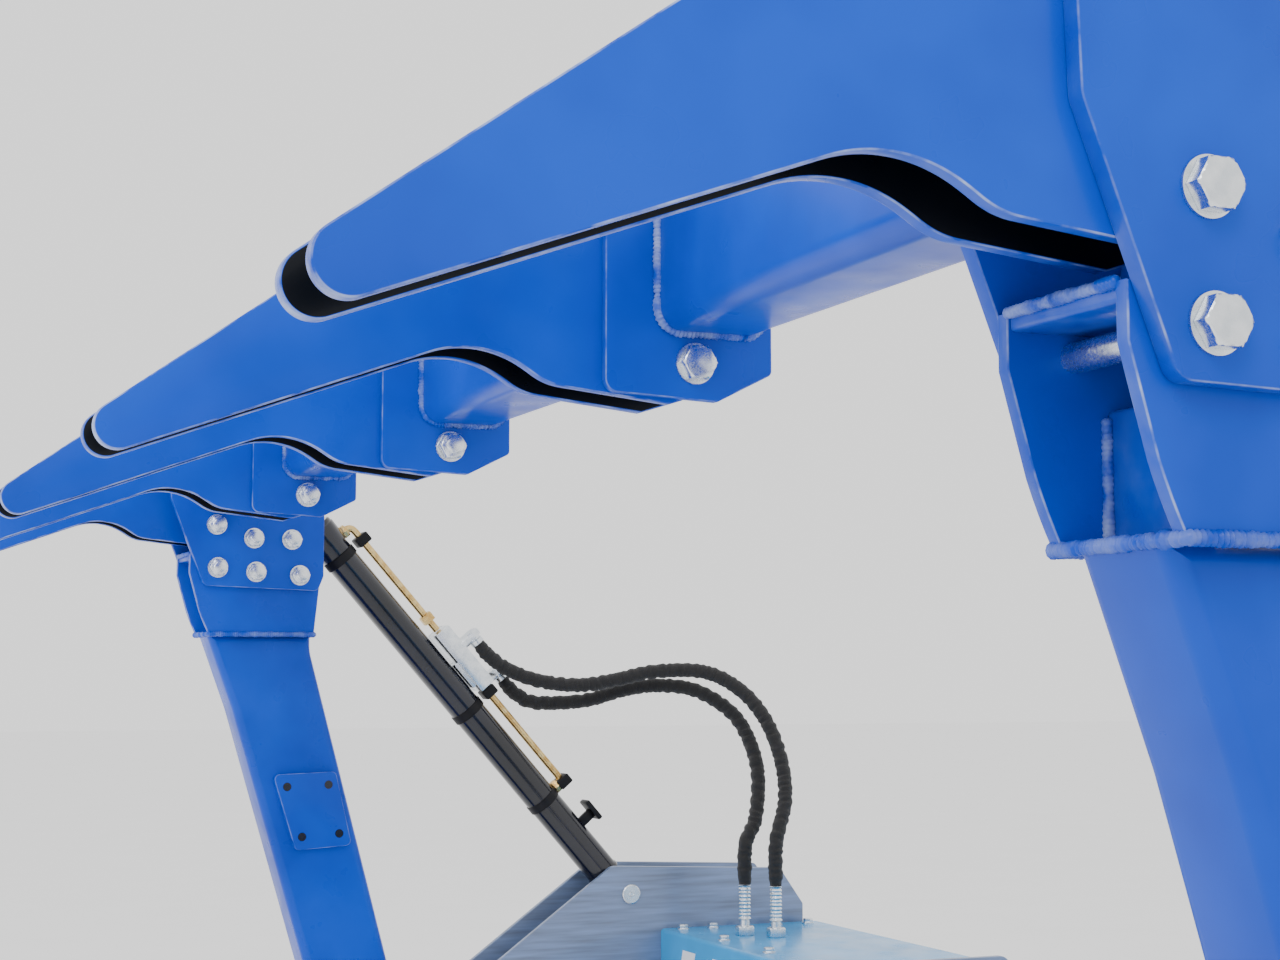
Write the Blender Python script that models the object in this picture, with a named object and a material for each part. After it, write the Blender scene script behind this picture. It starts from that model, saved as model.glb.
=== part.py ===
"""Hydraulically tilted frame with five overhead arms.

X runs along the row of arms, -Y is the way the arm noses point, and +Z is up.
The origin is on the floor under the middle of the machine. Lengths are in metres.
The frame turns about the leg hinges, and a cylinder at each end pushes it.
"""

import math

import bmesh
import bpy
from mathutils import Matrix, Vector

GAP = 0.0003  # between faces of neighbouring pieces
HOSE_GAP = 0.0015  # at a hose's ends, which meet their fittings a little askew

# Row of arms
ARM_COUNT = 5
ARM_PITCH = 0.75
ARM_WIDTH = 0.081  # outer face to outer face of a pair of plates
ARM_PLATE = 0.012
NOSE_RADIUS = 0.020
NOSE_Y = -0.892
NOSE_Z = 1.256
BOTTOM_SLOPE = math.radians(20.2)
CROWN_Y = -0.447  # where the straight top edge meets the crown
CROWN_Z = 1.604
ARM_REAR_Y = -0.352

# Cross tubes and their bracket plates
TUBE_FRONT_Y = -0.417
TUBE_BOTTOM_Z = 1.362
TUBE_DEPTH = 0.107
TUBE_HEIGHT = 0.120
TUBE_WALL = 0.006
TUBE_CORNER = 0.022
BRACKET_PLATE = 0.010
BRACKET_MARGIN = 0.050  # how far a bracket plate reaches in front of its tube

# Ends: splice plates, legs and base plates share one centre plane
END_INSET = 0.03  # from the end arm's middle to the leg's middle, inwards
HEAD_WIDTH = 0.140
HEAD_PLATE = 0.012
SPLICE_PLATE = 0.015
SEAM_Z = 1.130
LEG_WIDTH = 0.100
LEG_WALL = 0.008
HINGE_Y = -0.060
HINGE_Z = 0.330
HINGE_PIN_RADIUS = 0.020

# Bolts
BOLT_RADIUS = 0.010
BOLT_HOLE_RADIUS = 0.0115
BOLT_FLATS = 0.030
BOLT_HEAD = 0.0125
NUT_HEIGHT = 0.016
STUD_LENGTH = 0.006
BRACKET_BOLT = (-0.380, 1.334)
SPLICE_BOLTS = (
    (-0.388, 1.333),
    (-0.318, 1.309),
    (-0.246, 1.308),
    (-0.385, 1.253),
    (-0.313, 1.246),
    (-0.230, 1.241),
)
HEAD_BOLTS = SPLICE_BOLTS[1:]  # the first bolt goes through the arm instead

# Cylinders, from the barrel pin up to the rod pin
BARREL_PIN = (0.452, 0.620)
ROD_PIN = (-0.250, 1.415)
CYLINDER_PIN_RADIUS = 0.0125
PIN_HEAD_RADIUS = 0.019
PIN_HEAD = 0.005
PIN_CLEARANCE = 0.0004
BARREL_RADIUS = 0.032
GLAND_RADIUS = 0.036
BARREL_END = 0.960
ROD_RADIUS = 0.018
ROD_START = 0.620
BARREL_EYE_RADIUS = 0.034
ROD_EYE_RADIUS = 0.040
ROD_EYE_HOLE = 0.0245  # the open pivot: wide enough for the linkage's coupling error
EYE_WIDTH = 0.050
PIPE_RADIUS = 0.007
PIPE_OFFSET = 0.056
LOWER_PORT = 0.249
UPPER_PORT = 0.915
BLOCK_START = 0.500
BLOCK_END = 0.645
BLOCK_INNER = 0.040
BLOCK_OUTER = 0.074
PORT_LENGTH = 0.034
PORT_HALF = 0.0165
BLOCK_WIDTH = 0.058
PORT_SPREAD = {"hose_upper": 0.018, "hose_lower": -0.018}  # from the cylinder's middle, along X
HOSE_RADIUS = 0.015

# Base
BASE_PLATE = 0.012
LEG_CLEARANCE = 0.004  # between a leg and the base plate on each side of it
RAIL_HEIGHT = 0.100
RAIL_FRONT_Y = -0.600
RAIL_REAR_Y = 0.912
RAIL_OUTSIDE = 0.130
RAIL_WALL = 0.008
DECK_TOP_Z = 0.550
DECK_FRONT_Y = 0.517
DECK_REAR_Y = 0.870
DECK_SHEET = 0.005
DECK_SKIRT = 0.230
BEAM_WALL = 0.008
CENTRE_GAP = 0.098
FERRULE_RADIUS = 0.011

# Hoses: the route of each, from its port on the valve block to its ferrule on the deck
HOSE_ROUTES = {
    "hose_upper": (
        (-1.452, 0.1453, 1.1168), (-1.452, 0.1653, 1.0943), (-1.446, 0.204, 1.066),
        (-1.434, 0.265, 1.043), (-1.415, 0.343, 1.034), (-1.392, 0.412, 1.044),
        (-1.362, 0.487, 1.061), (-1.322, 0.577, 1.060), (-1.290, 0.641, 1.024),
        (-1.260, 0.682, 0.965), (-1.232, 0.702, 0.886), (-1.208, 0.698, 0.809),
        (-1.191, 0.670, 0.730), (-1.190, 0.668, 0.6470),
    ),
    "hose_lower": (
        (-1.488, 0.2073, 1.0465), (-1.488, 0.2273, 1.0240), (-1.484, 0.262, 1.002),
        (-1.474, 0.310, 0.998), (-1.452, 0.378, 1.004), (-1.428, 0.445, 1.024),
        (-1.402, 0.505, 1.033), (-1.368, 0.575, 1.024), (-1.334, 0.634, 0.985),
        (-1.306, 0.662, 0.935), (-1.277, 0.672, 0.862), (-1.252, 0.655, 0.775),
        (-1.241, 0.628, 0.725), (-1.240, 0.625, 0.6470),
    ),
}
HOSE_POINTS = 44

CROWN_REACH = (CROWN_Y - NOSE_Y, CROWN_Z - NOSE_Z)
TOP_SLOPE = math.atan2(CROWN_REACH[1], CROWN_REACH[0]) - math.asin(NOSE_RADIUS / math.hypot(*CROWN_REACH))
BASE_PLATE_GAP = LEG_WIDTH + 2 * LEG_CLEARANCE
END_X = ARM_PITCH * (ARM_COUNT - 1) / 2
LEG_X = END_X - END_INSET
SPLICE_TOP_Z = 1.520
AXIS = Vector((BARREL_PIN[0], BARREL_PIN[1])) - Vector((ROD_PIN[0], ROD_PIN[1]))
CYLINDER_LENGTH = AXIS.length
UP = (-AXIS.x / AXIS.length, -AXIS.y / AXIS.length)  # (y, z), barrel pin to rod pin
SIDE = (UP[1], -UP[0])  # (y, z), square to the cylinder, on its upper side


def clear_scene():
    for obj in list(bpy.data.objects):
        bpy.data.objects.remove(obj, do_unlink=True)


def make_material(name, colour, roughness, metallic):
    material = bpy.data.materials.new(name)
    material.use_nodes = True
    shader = material.node_tree.nodes["Principled BSDF"]
    shader.inputs["Base Color"].default_value = (*colour, 1.0)
    shader.inputs["Roughness"].default_value = roughness
    shader.inputs["Metallic"].default_value = metallic
    return material


def add_mesh(name, bm, material=None, smooth=False):
    """A new object that holds the bmesh, with its faces turned outwards."""
    bmesh.ops.recalc_face_normals(bm, faces=bm.faces)
    mesh = bpy.data.meshes.new(name)
    bm.to_mesh(mesh)
    bm.free()
    if smooth:
        mesh.shade_smooth()
        mesh.set_sharp_from_angle(angle=math.radians(40))
    obj = bpy.data.objects.new(name, mesh)
    bpy.context.scene.collection.objects.link(obj)
    if material:
        mesh.materials.append(material)
    return obj


def add_loft(bm, rings, close=False):
    """Join rings of equal length by quads; the ends are capped unless close is set."""
    loops = [[bm.verts.new(point) for point in ring] for ring in rings]
    count = len(loops[0])
    pairs = list(zip(loops, loops[1:]))
    if close:
        pairs.append((loops[-1], loops[0]))
    for first, second in pairs:
        for i in range(count):
            j = (i + 1) % count
            bm.faces.new((first[i], first[j], second[j], second[i]))
    if not close:
        bm.faces.new(loops[0])
        bm.faces.new(loops[-1])


def filleted(corners, segments=5):
    """The outline through (y, z, radius) corners, each rounded by an arc of its radius."""
    points = []
    for i, (y, z, radius) in enumerate(corners):
        here = Vector((y, z))
        if not radius:
            points.append((y, z))
            continue
        before = (Vector(corners[i - 1][:2]) - here).normalized()
        after = (Vector(corners[(i + 1) % len(corners)][:2]) - here).normalized()
        half = before.angle(after) / 2
        start = here + before * radius / math.tan(half)
        end = here + after * radius / math.tan(half)
        centre = here + (before + after).normalized() * radius / math.sin(half)
        turn = (start - centre).angle_signed(end - centre)
        for step in range(segments + 1):
            arm = (start - centre).copy()
            arm.rotate(Matrix.Rotation(-turn * step / segments, 2))
            points.append(tuple(centre + arm))
    return points


def circle(y, z, radius, sides=16):
    return [
        (
            y + radius * math.cos(2 * math.pi * i / sides),
            z + radius * math.sin(2 * math.pi * i / sides),
        )
        for i in range(sides)
    ]


def outline_mesh(outline, low, high):
    """The outline, in Y and Z, extruded along X from low to high."""
    bm = bmesh.new()
    add_loft(bm, [[(x, y, z) for y, z in outline] for x in (low, high)])
    return bm


def rectangle(y0, y1, z0, z1):
    return [(y0, z0), (y1, z0), (y1, z1), (y0, z1)]


def helper(name, bm):
    obj = add_mesh(name, bm)
    obj.hide_render = True
    obj.display_type = "WIRE"
    return obj


def combine(obj, other, operation):
    modifier = obj.modifiers.new(other.name, "BOOLEAN")
    modifier.operation = operation
    modifier.solver = "EXACT"
    modifier.object = other


def drill(obj, holes, low, high, sides=12):
    """Cut round holes (y, z, radius) along X; the flats of each hole keep its radius."""
    bm = bmesh.new()
    for y, z, radius in holes:
        ring = circle(y, z, radius / math.cos(math.pi / sides), sides)
        add_loft(bm, [[(x, a, b) for a, b in ring] for x in (low, high)])
    combine(obj, helper(obj.name + "_holes", bm), "DIFFERENCE")


def weld(obj, pieces):
    """Union the meshes into the object, one after the other."""
    for number, bm in enumerate(pieces):
        combine(obj, helper(f"{obj.name}_weld_{number}", bm), "UNION")


def plate(name, outline, low, high, material, holes=()):
    obj = add_mesh(name, outline_mesh(outline, low, high), material)
    if holes:
        drill(obj, holes, low - 0.01, high + 0.01)
    return obj


def carry(empty, *objects):
    """Parent the objects to the empty and leave them where they are."""
    for obj in objects:
        obj.parent = empty
        obj.matrix_parent_inverse = Matrix.Translation(-Vector(empty.location))


def add_empty(name, location):
    empty = bpy.data.objects.new(name, None)
    empty.location = location
    bpy.context.scene.collection.objects.link(empty)
    return empty


def arm_outline():
    """Rounded nose, straight tapering edges, an S-curve at the root and a short tail."""
    nose = []
    first = math.pi / 2 + TOP_SLOPE
    last = 1.5 * math.pi + BOTTOM_SLOPE
    for step in range(9):
        angle = first + (last - first) * step / 8
        nose.append(
            (NOSE_Y + NOSE_RADIUS * math.cos(angle), NOSE_Z + NOSE_RADIUS * math.sin(angle))
        )
    top_y, top_z = nose[0]
    low_y, low_z = nose[-1]
    peak_y = -0.580
    peak_z = low_z + (peak_y - low_y) * math.tan(BOTTOM_SLOPE)
    body = filleted(
        [
            (low_y, low_z, 0),
            (peak_y, peak_z, 0.100),
            (-0.518, 1.3100, 0.060),
            (-0.400, 1.2975, 0),
            (-0.358, 1.3110, 0),
            (ARM_REAR_Y, 1.3250, 0),
            (ARM_REAR_Y, CROWN_Z, 0.040),
            (CROWN_Y, CROWN_Z, 0.060),
            (top_y, top_z, 0),
        ],
        segments=6,
    )
    return nose + body[1:-1]


def build_arms(material, frame):
    """Five pairs of plates. The first arm, number 0, is at +X."""
    outline = arm_outline()
    for number in range(ARM_COUNT):
        middle = END_X - number * ARM_PITCH
        at_end = number in (0, ARM_COUNT - 1)
        y, z = SPLICE_BOLTS[0] if at_end else BRACKET_BOLT
        for side, edge in (("plus", ARM_WIDTH / 2), ("minus", -ARM_WIDTH / 2 + ARM_PLATE)):
            name = f"arm_{number}_plate_{side}"
            high = middle + edge
            holes = [(y, z, BOLT_HOLE_RADIUS)]
            carry(frame, plate(name, outline, high - ARM_PLATE, high, material, holes))


def rounded_box(inset):
    """The tube's section, shrunk by inset on every side."""
    y0 = TUBE_FRONT_Y + inset
    y1 = TUBE_FRONT_Y + TUBE_DEPTH - inset
    z0 = TUBE_BOTTOM_Z + inset
    z1 = TUBE_BOTTOM_Z + TUBE_HEIGHT - inset
    radius = TUBE_CORNER - inset
    corners = [(y0, z0, radius), (y1, z0, radius), (y1, z1, radius), (y0, z1, radius)]
    return filleted(corners, segments=4)


def build_tubes(material, frame):
    """One tube in each bay, and the bracket plate that carries its -X end."""
    end_plate_face = LEG_X - HEAD_WIDTH / 2 - SPLICE_PLATE - GAP
    for bay in range(ARM_COUNT - 1):
        low = END_X - (bay + 1) * ARM_PITCH + ARM_WIDTH / 2 + GAP
        high = END_X - bay * ARM_PITCH - ARM_WIDTH / 2
        if bay == ARM_COUNT - 2:
            low = -end_plate_face
        else:
            low += BRACKET_PLATE
        if bay == 0:
            high = end_plate_face
        outer = rounded_box(0)
        inner = rounded_box(TUBE_WALL)
        bm = bmesh.new()
        rings = [(low + GAP, outer), (high - GAP, outer), (high - GAP, inner), (low + GAP, inner)]
        add_loft(bm, [[(x, y, z) for y, z in ring] for x, ring in rings], close=True)
        carry(frame, add_mesh(f"cross_tube_{bay}", bm, material, smooth=True))


def build_brackets(material, steel, frame):
    """Bracket plates on the inner arms, each held by one bolt through the arm."""
    rear = TUBE_FRONT_Y + TUBE_DEPTH + 0.008
    top = TUBE_BOTTOM_Z + TUBE_HEIGHT + 0.040
    front = TUBE_FRONT_Y - BRACKET_MARGIN
    outline = filleted(
        [
            (front, 1.305, 0.012),
            (-0.357, 1.300, 0.006),
            (rear, 1.328, 0.006),
            (rear, top, 0.012),
            (front, top, 0.012),
        ],
        segments=3,
    )
    y, z = BRACKET_BOLT
    for number in range(1, ARM_COUNT - 1):
        middle = END_X - number * ARM_PITCH
        low = middle + ARM_WIDTH / 2 + GAP
        high = low + BRACKET_PLATE
        holes = [(y, z, BOLT_HOLE_RADIUS)]
        carry(frame, plate(f"bracket_plate_{number}", outline, low, high, material, holes))
        bolt = make_bolt(f"bracket_bolt_{number}", y, z, middle - ARM_WIDTH / 2, high, steel)
        carry(frame, bolt)


def hex_ring(x, y, z):
    """Twelve points on a hexagon, its corners and the middles of its flats."""
    ring = []
    for i in range(12):
        radius = BOLT_FLATS / 2 / (math.cos(math.pi / 6) if i % 2 else 1)
        angle = math.pi * i / 6
        ring.append((x, y + radius * math.cos(angle), z + radius * math.sin(angle)))
    return ring


def make_bolt(name, y, z, nut_face, head_face, material):
    """A hexagon bolt along X with its head at +X and its nut at -X."""
    shank = circle(y, z, BOLT_RADIUS, 12)
    nut = nut_face - GAP
    head = head_face + GAP
    rings = [
        [(nut - NUT_HEIGHT - STUD_LENGTH, a, b) for a, b in shank],
        [(nut - NUT_HEIGHT, a, b) for a, b in shank],
        hex_ring(nut - NUT_HEIGHT, y, z),
        hex_ring(nut, y, z),
        [(nut, a, b) for a, b in shank],
        [(head, a, b) for a, b in shank],
        hex_ring(head, y, z),
        hex_ring(head + BOLT_HEAD, y, z),
    ]
    bm = bmesh.new()
    add_loft(bm, rings)
    return add_mesh(name, bm, material)


def splice_outline():
    return filleted(
        [
            (-0.478, SPLICE_TOP_Z, 0.012),
            (-0.473, 1.380, 0.020),
            (-0.410, 1.219, 0.014),
            (-0.195, 1.212, 0.012),
            (-0.184, 1.240, 0.010),
            (-0.184, SPLICE_TOP_Z, 0.012),
        ],
        segments=3,
    )


def head_outline():
    """Side plate of the leg head, with a riser for the two upper bolts."""
    return [
        (-0.434, 1.279),
        (-0.434, 1.243),
        (-0.415, 1.175),
        (-0.396, SEAM_Z),
        (-0.198, SEAM_Z),
        (-0.188, 1.225),
        (-0.195, 1.262),
        (-0.222, 1.335),
        (-0.336, 1.335),
        (-0.345, 1.283),
    ]


def leg_corners(inset, top_z):
    """Side outline of the lower leg, drawn in by inset, down to the rounded hinge end."""
    return [
        (-0.395 + inset, top_z, 0),
        (-0.344 + inset, 0.990, 0.150),
        (-0.128 + inset, 0.268, 0.055 - inset),
        (0.026 - inset, 0.268, 0.055 - inset),
        (-0.198 - inset, 1.100, 0.100),
        (-0.198 - inset, top_z, 0),
    ]


def box_mesh(x0, x1, y0, y1, z0, z1):
    return outline_mesh(rectangle(y0, y1, z0, z1), x0, x1)


def build_leg(end, sign, blue, frame):
    """The fabricated head, the folded lower leg with its four-hole pad, and the splices."""
    middle = sign * LEG_X
    half = HEAD_WIDTH / 2
    side = head_outline()
    holes = [(y, z, BOLT_HOLE_RADIUS) for y, z in HEAD_BOLTS]
    inner = half - HEAD_PLATE
    reach = inner + 0.004  # how far the cross plates run into the side plates
    head = add_mesh(f"leg_{end}_head", outline_mesh(side, middle + inner, middle + half), blue)
    web_y = -0.352
    weld(
        head,
        [
            box_mesh(middle - reach, middle + reach, web_y - 0.008, web_y, SEAM_Z + 0.001, 1.220),
            box_mesh(middle - reach, middle + reach, -0.432, web_y, 1.267, 1.278),
            box_mesh(middle - reach, middle + reach, -0.210, -0.202, SEAM_Z + 0.001, 1.205),
            outline_mesh(side, middle - half, middle - inner),
        ],
    )
    drill(head, holes, middle - half - 0.01, middle + half + 0.01)

    lower_top = SEAM_Z - GAP
    leg = add_mesh(
        f"leg_{end}_lower",
        outline_mesh(
            filleted(leg_corners(0, lower_top)), middle - LEG_WIDTH / 2, middle + LEG_WIDTH / 2
        ),
        blue,
    )
    pad = filleted(
        [(-0.270, 0.868, 0.010), (-0.150, 0.872, 0.010), (-0.117, 0.733, 0.010), (-0.225, 0.726, 0.010)],
        segments=3,
    )
    inward = middle - sign * LEG_WIDTH / 2
    pad_low, pad_high = sorted((inward - sign * 0.014, inward + sign * 0.004))
    weld(leg, [outline_mesh(pad, pad_low, pad_high)])
    hollow = filleted(leg_corners(LEG_WALL, lower_top + 0.02))
    hollow = [(y, max(z, HINGE_Z + 0.11)) for y, z in hollow]
    cavity = [hollow[0]] + [p for a, p in zip(hollow, hollow[1:]) if p != a]
    width = LEG_WIDTH / 2 - LEG_WALL
    combine(
        leg,
        helper(f"leg_{end}_cavity", outline_mesh(cavity, middle - width, middle + width)),
        "DIFFERENCE",
    )
    drill(leg, [(HINGE_Y, HINGE_Z, HINGE_PIN_RADIUS + PIN_CLEARANCE)], middle - 0.1, middle + 0.1, 24)

    splice = splice_outline()
    through = [(y, z, BOLT_HOLE_RADIUS) for y, z in SPLICE_BOLTS]
    through.append((*ROD_PIN, CYLINDER_PIN_RADIUS + PIN_CLEARANCE))
    arm_face = ARM_WIDTH / 2 + END_INSET
    outer = max(half, arm_face) + GAP
    for place, low, high in (
        ("outer", outer, outer + SPLICE_PLATE),
        ("inner", -half - GAP - SPLICE_PLATE, -half - GAP),
    ):
        x0, x1 = sorted((middle + sign * low, middle + sign * high))
        carry(frame, plate(f"splice_{end}_{place}", splice, x0, x1, blue, through))
    carry(frame, head, leg)


def build_splice_bolts(steel, frame):
    """The six bolts of the splice at arm 0, right through plates, arm and leg head."""
    head_face = LEG_X + max(HEAD_WIDTH / 2, ARM_WIDTH / 2 + END_INSET) + GAP + SPLICE_PLATE
    nut_face = LEG_X - HEAD_WIDTH / 2 - GAP - SPLICE_PLATE
    for number, (y, z) in enumerate(SPLICE_BOLTS):
        carry(frame, make_bolt(f"splice_bolt_{number}", y, z, nut_face, head_face, steel))


def turned(profile, origin, sides=20):
    """A profile of (distance, radius) turned about the cylinder's line; it starts and ends at 0."""
    bm = bmesh.new()
    up = Vector((0, *UP))
    across = Vector((1, 0, 0))
    out = up.cross(across)
    start = Vector(origin)
    first = bm.verts.new(start + up * profile[0][0])
    last = bm.verts.new(start + up * profile[-1][0])
    rings = []
    for distance, radius in profile[1:-1]:
        ring = []
        for i in range(sides):
            angle = 2 * math.pi * i / sides
            arm = across * math.cos(angle) + out * math.sin(angle)
            ring.append(bm.verts.new(start + up * distance + arm * radius))
        rings.append(ring)
    for i in range(sides):
        j = (i + 1) % sides
        bm.faces.new((first, rings[0][i], rings[0][j]))
        bm.faces.new((last, rings[-1][j], rings[-1][i]))
        for a, b in zip(rings, rings[1:]):
            bm.faces.new((a[i], a[j], b[j], b[i]))
    return bm


def eye_mesh(place, radius, middle):
    return outline_mesh(circle(*place, radius, 24), middle - EYE_WIDTH / 2, middle + EYE_WIDTH / 2)


def make_pin(name, place, radius, low, high, material):
    """A plain pin along X with a round head outside each plate."""
    y, z = place
    rings = []
    for x, size in (
        (low - GAP - PIN_HEAD, PIN_HEAD_RADIUS),
        (low - GAP, PIN_HEAD_RADIUS),
        (low - GAP, radius),
        (high + GAP, radius),
        (high + GAP, PIN_HEAD_RADIUS),
        (high + GAP + PIN_HEAD, PIN_HEAD_RADIUS),
    ):
        size = max(size, radius + 0.0065) if size == PIN_HEAD_RADIUS else size
        rings.append([(x, a, b) for a, b in circle(y, z, size, 24)])
    bm = bmesh.new()
    add_loft(bm, rings)
    return add_mesh(name, bm, material, smooth=True)


def build_cylinder(end, sign, paint, chrome, steel, bodies):
    """Barrel on its pin, rod in the barrel, and the rod pin that the frame carries."""
    frame, swing = bodies
    middle = sign * LEG_X
    origin = (middle, *BARREL_PIN)
    bore = ROD_RADIUS + PIN_CLEARANCE
    barrel = add_mesh(
        f"cylinder_{end}_barrel",
        turned(
            [
                (0.010, 0),
                (0.010, BARREL_RADIUS - 0.004),
                (0.046, BARREL_RADIUS),
                (BARREL_END - 0.045, BARREL_RADIUS),
                (BARREL_END - 0.040, GLAND_RADIUS),
                (BARREL_END, GLAND_RADIUS),
                (BARREL_END, bore),
                (ROD_START - 0.02, bore),
                (ROD_START - 0.02, 0),
            ],
            origin,
        ),
        paint,
        smooth=True,
    )
    weld(barrel, [eye_mesh(BARREL_PIN, BARREL_EYE_RADIUS, middle)])
    pin_hole = (*BARREL_PIN, CYLINDER_PIN_RADIUS + PIN_CLEARANCE)
    drill(barrel, [pin_hole], middle - 0.05, middle + 0.05, 24)

    rod = add_mesh(
        f"cylinder_{end}_rod",
        turned(
            [
                (ROD_START, 0),
                (ROD_START, ROD_RADIUS),
                (CYLINDER_LENGTH - 0.030, ROD_RADIUS),
                (CYLINDER_LENGTH - 0.030, 0),
            ],
            origin,
        ),
        chrome,
        smooth=True,
    )
    weld(rod, [eye_mesh(ROD_PIN, ROD_EYE_RADIUS, middle)])
    drill(rod, [(*ROD_PIN, ROD_EYE_HOLE)], middle - 0.05, middle + 0.05, 24)
    carry(swing, barrel, rod)

    half = HEAD_WIDTH / 2 + GAP + SPLICE_PLATE
    outer = max(HEAD_WIDTH / 2, ARM_WIDTH / 2 + END_INSET) + GAP + SPLICE_PLATE
    low, high = sorted((middle - sign * half, middle + sign * outer))
    carry(frame, make_pin(f"rod_pin_{end}", ROD_PIN, CYLINDER_PIN_RADIUS, low, high, steel))
    reach = BASE_PLATE_GAP / 2 + BASE_PLATE
    low, high = middle - reach, middle + reach
    make_pin(f"barrel_pin_{end}", BARREL_PIN, CYLINDER_PIN_RADIUS, low, high, steel)
    make_pin(f"hinge_pin_{end}", (HINGE_Y, HINGE_Z), HINGE_PIN_RADIUS, low, high, steel)


def beside(distance, offset):
    """The (y, z) point this far up the cylinder and this far out on its upper side."""
    return (
        BARREL_PIN[0] + UP[0] * distance + SIDE[0] * offset,
        BARREL_PIN[1] + UP[1] * distance + SIDE[1] * offset,
    )


def strip_outline(start, end, inner, outer):
    """A rectangle beside the cylinder, given along it and out from it."""
    return [
        beside(start, inner),
        beside(end, inner),
        beside(end, outer),
        beside(start, outer),
    ]


def build_pipes(middle, brass, steel, swing):
    """Two pipes from the valve block to the barrel's ports, and the block itself."""
    reach = BARREL_RADIUS + GAP
    for name, port, low, high in (
        ("pipe_lower", LOWER_PORT, LOWER_PORT - 0.008, BLOCK_START - GAP),
        ("pipe_upper", UPPER_PORT, BLOCK_END + GAP, UPPER_PORT + 0.004),
    ):
        y, z = beside(0, PIPE_OFFSET)
        run = [(low, 0), (low, PIPE_RADIUS), (high, PIPE_RADIUS), (high, 0)]
        pipe = add_mesh(name, turned(run, (middle, y, z), 12), brass, smooth=True)
        near_port = port - 0.010
        if port == UPPER_PORT:
            near_port = port - 0.022
        banjo = strip_outline(near_port, near_port + 0.022, reach + 0.002, PIPE_OFFSET + 0.010)
        weld(pipe, [outline_mesh(banjo, middle - 0.011, middle + 0.011)])
        carry(swing, pipe)

    half = BLOCK_WIDTH / 2
    outline = strip_outline(BLOCK_START, BLOCK_END, BLOCK_INNER, BLOCK_OUTER)
    block = add_mesh("valve_block", outline_mesh(outline, middle - half, middle + half), steel)
    ports = []
    for name, route in HOSE_ROUTES.items():
        x = middle + PORT_SPREAD[name]
        y, z = route[0][1:]
        from_pin = Vector((y, z)) - Vector(BARREL_PIN)
        start = from_pin.dot(Vector(UP)) + HOSE_GAP
        offset = from_pin.dot(Vector(SIDE))
        port = strip_outline(start, start + PORT_LENGTH, BLOCK_OUTER - 0.004, offset + PORT_HALF)
        ports.append(outline_mesh(port, x - PORT_HALF, x + PORT_HALF))
    weld(block, ports)
    carry(swing, block)


def smooth_route(points, count):
    """Points on the Catmull-Rom curve through a route, evenly shared between its spans."""
    knots = [Vector(p) for p in points]
    knots.insert(0, knots[0] * 2 - knots[1])
    knots.append(knots[-1] * 2 - knots[-2])
    spans = len(points) - 1
    route = []
    for step in range(count):
        place = step * spans / (count - 1)
        span = min(int(place), spans - 1)
        t = place - span
        a, b, c, d = knots[span : span + 4]
        route.append(
            (b * 2 + (c - a) * t + (a * 2 - b * 5 + c * 4 - d) * t**2 + (b * 3 - a - c * 3 + d) * t**3) / 2
        )
    return route


def build_hoses(rubber, steel):
    """Two sleeved hoses and the crimped ferrules that they end in on the deck."""
    for name, points in HOSE_ROUTES.items():
        curve = bpy.data.curves.new(name, "CURVE")
        curve.dimensions = "3D"
        curve.bevel_depth = HOSE_RADIUS
        curve.bevel_resolution = 2
        curve.use_fill_caps = True
        route = smooth_route(points, HOSE_POINTS)
        spline = curve.splines.new("POLY")
        spline.points.add(len(route) - 1)
        for point, place in zip(spline.points, route):
            point.co = (*place, 1.0)
        curve.materials.append(rubber)
        bpy.context.scene.collection.objects.link(bpy.data.objects.new(name, curve))
        x, y, top = points[-1]
        bm = bmesh.new()
        levels = (
            (DECK_TOP_Z + GAP, FERRULE_RADIUS + 0.006),
            (DECK_TOP_Z + 0.020, FERRULE_RADIUS + 0.006),
            (DECK_TOP_Z + 0.020, FERRULE_RADIUS),
            (top - HOSE_GAP, FERRULE_RADIUS),
        )
        add_loft(bm, [[(a, b, z) for a, b in circle(x, y, r, 16)] for z, r in levels])
        add_mesh(name.replace("hose", "ferrule"), bm, steel, smooth=True)


def base_plate_outline():
    """From the hinge ear up the sloping edge to the cylinder's pin, and down the back."""
    return filleted(
        [
            (-0.135, RAIL_HEIGHT, 0),
            (0.834, RAIL_HEIGHT, 0),
            (0.834, 0.587, 0.008),
            (0.782, 0.661, 0.012),
            (0.412, 0.676, 0.020),
            (0.043, 0.405, 0.030),
            (-0.135, 0.405, 0.060),
        ],
        segments=4,
    )


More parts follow.
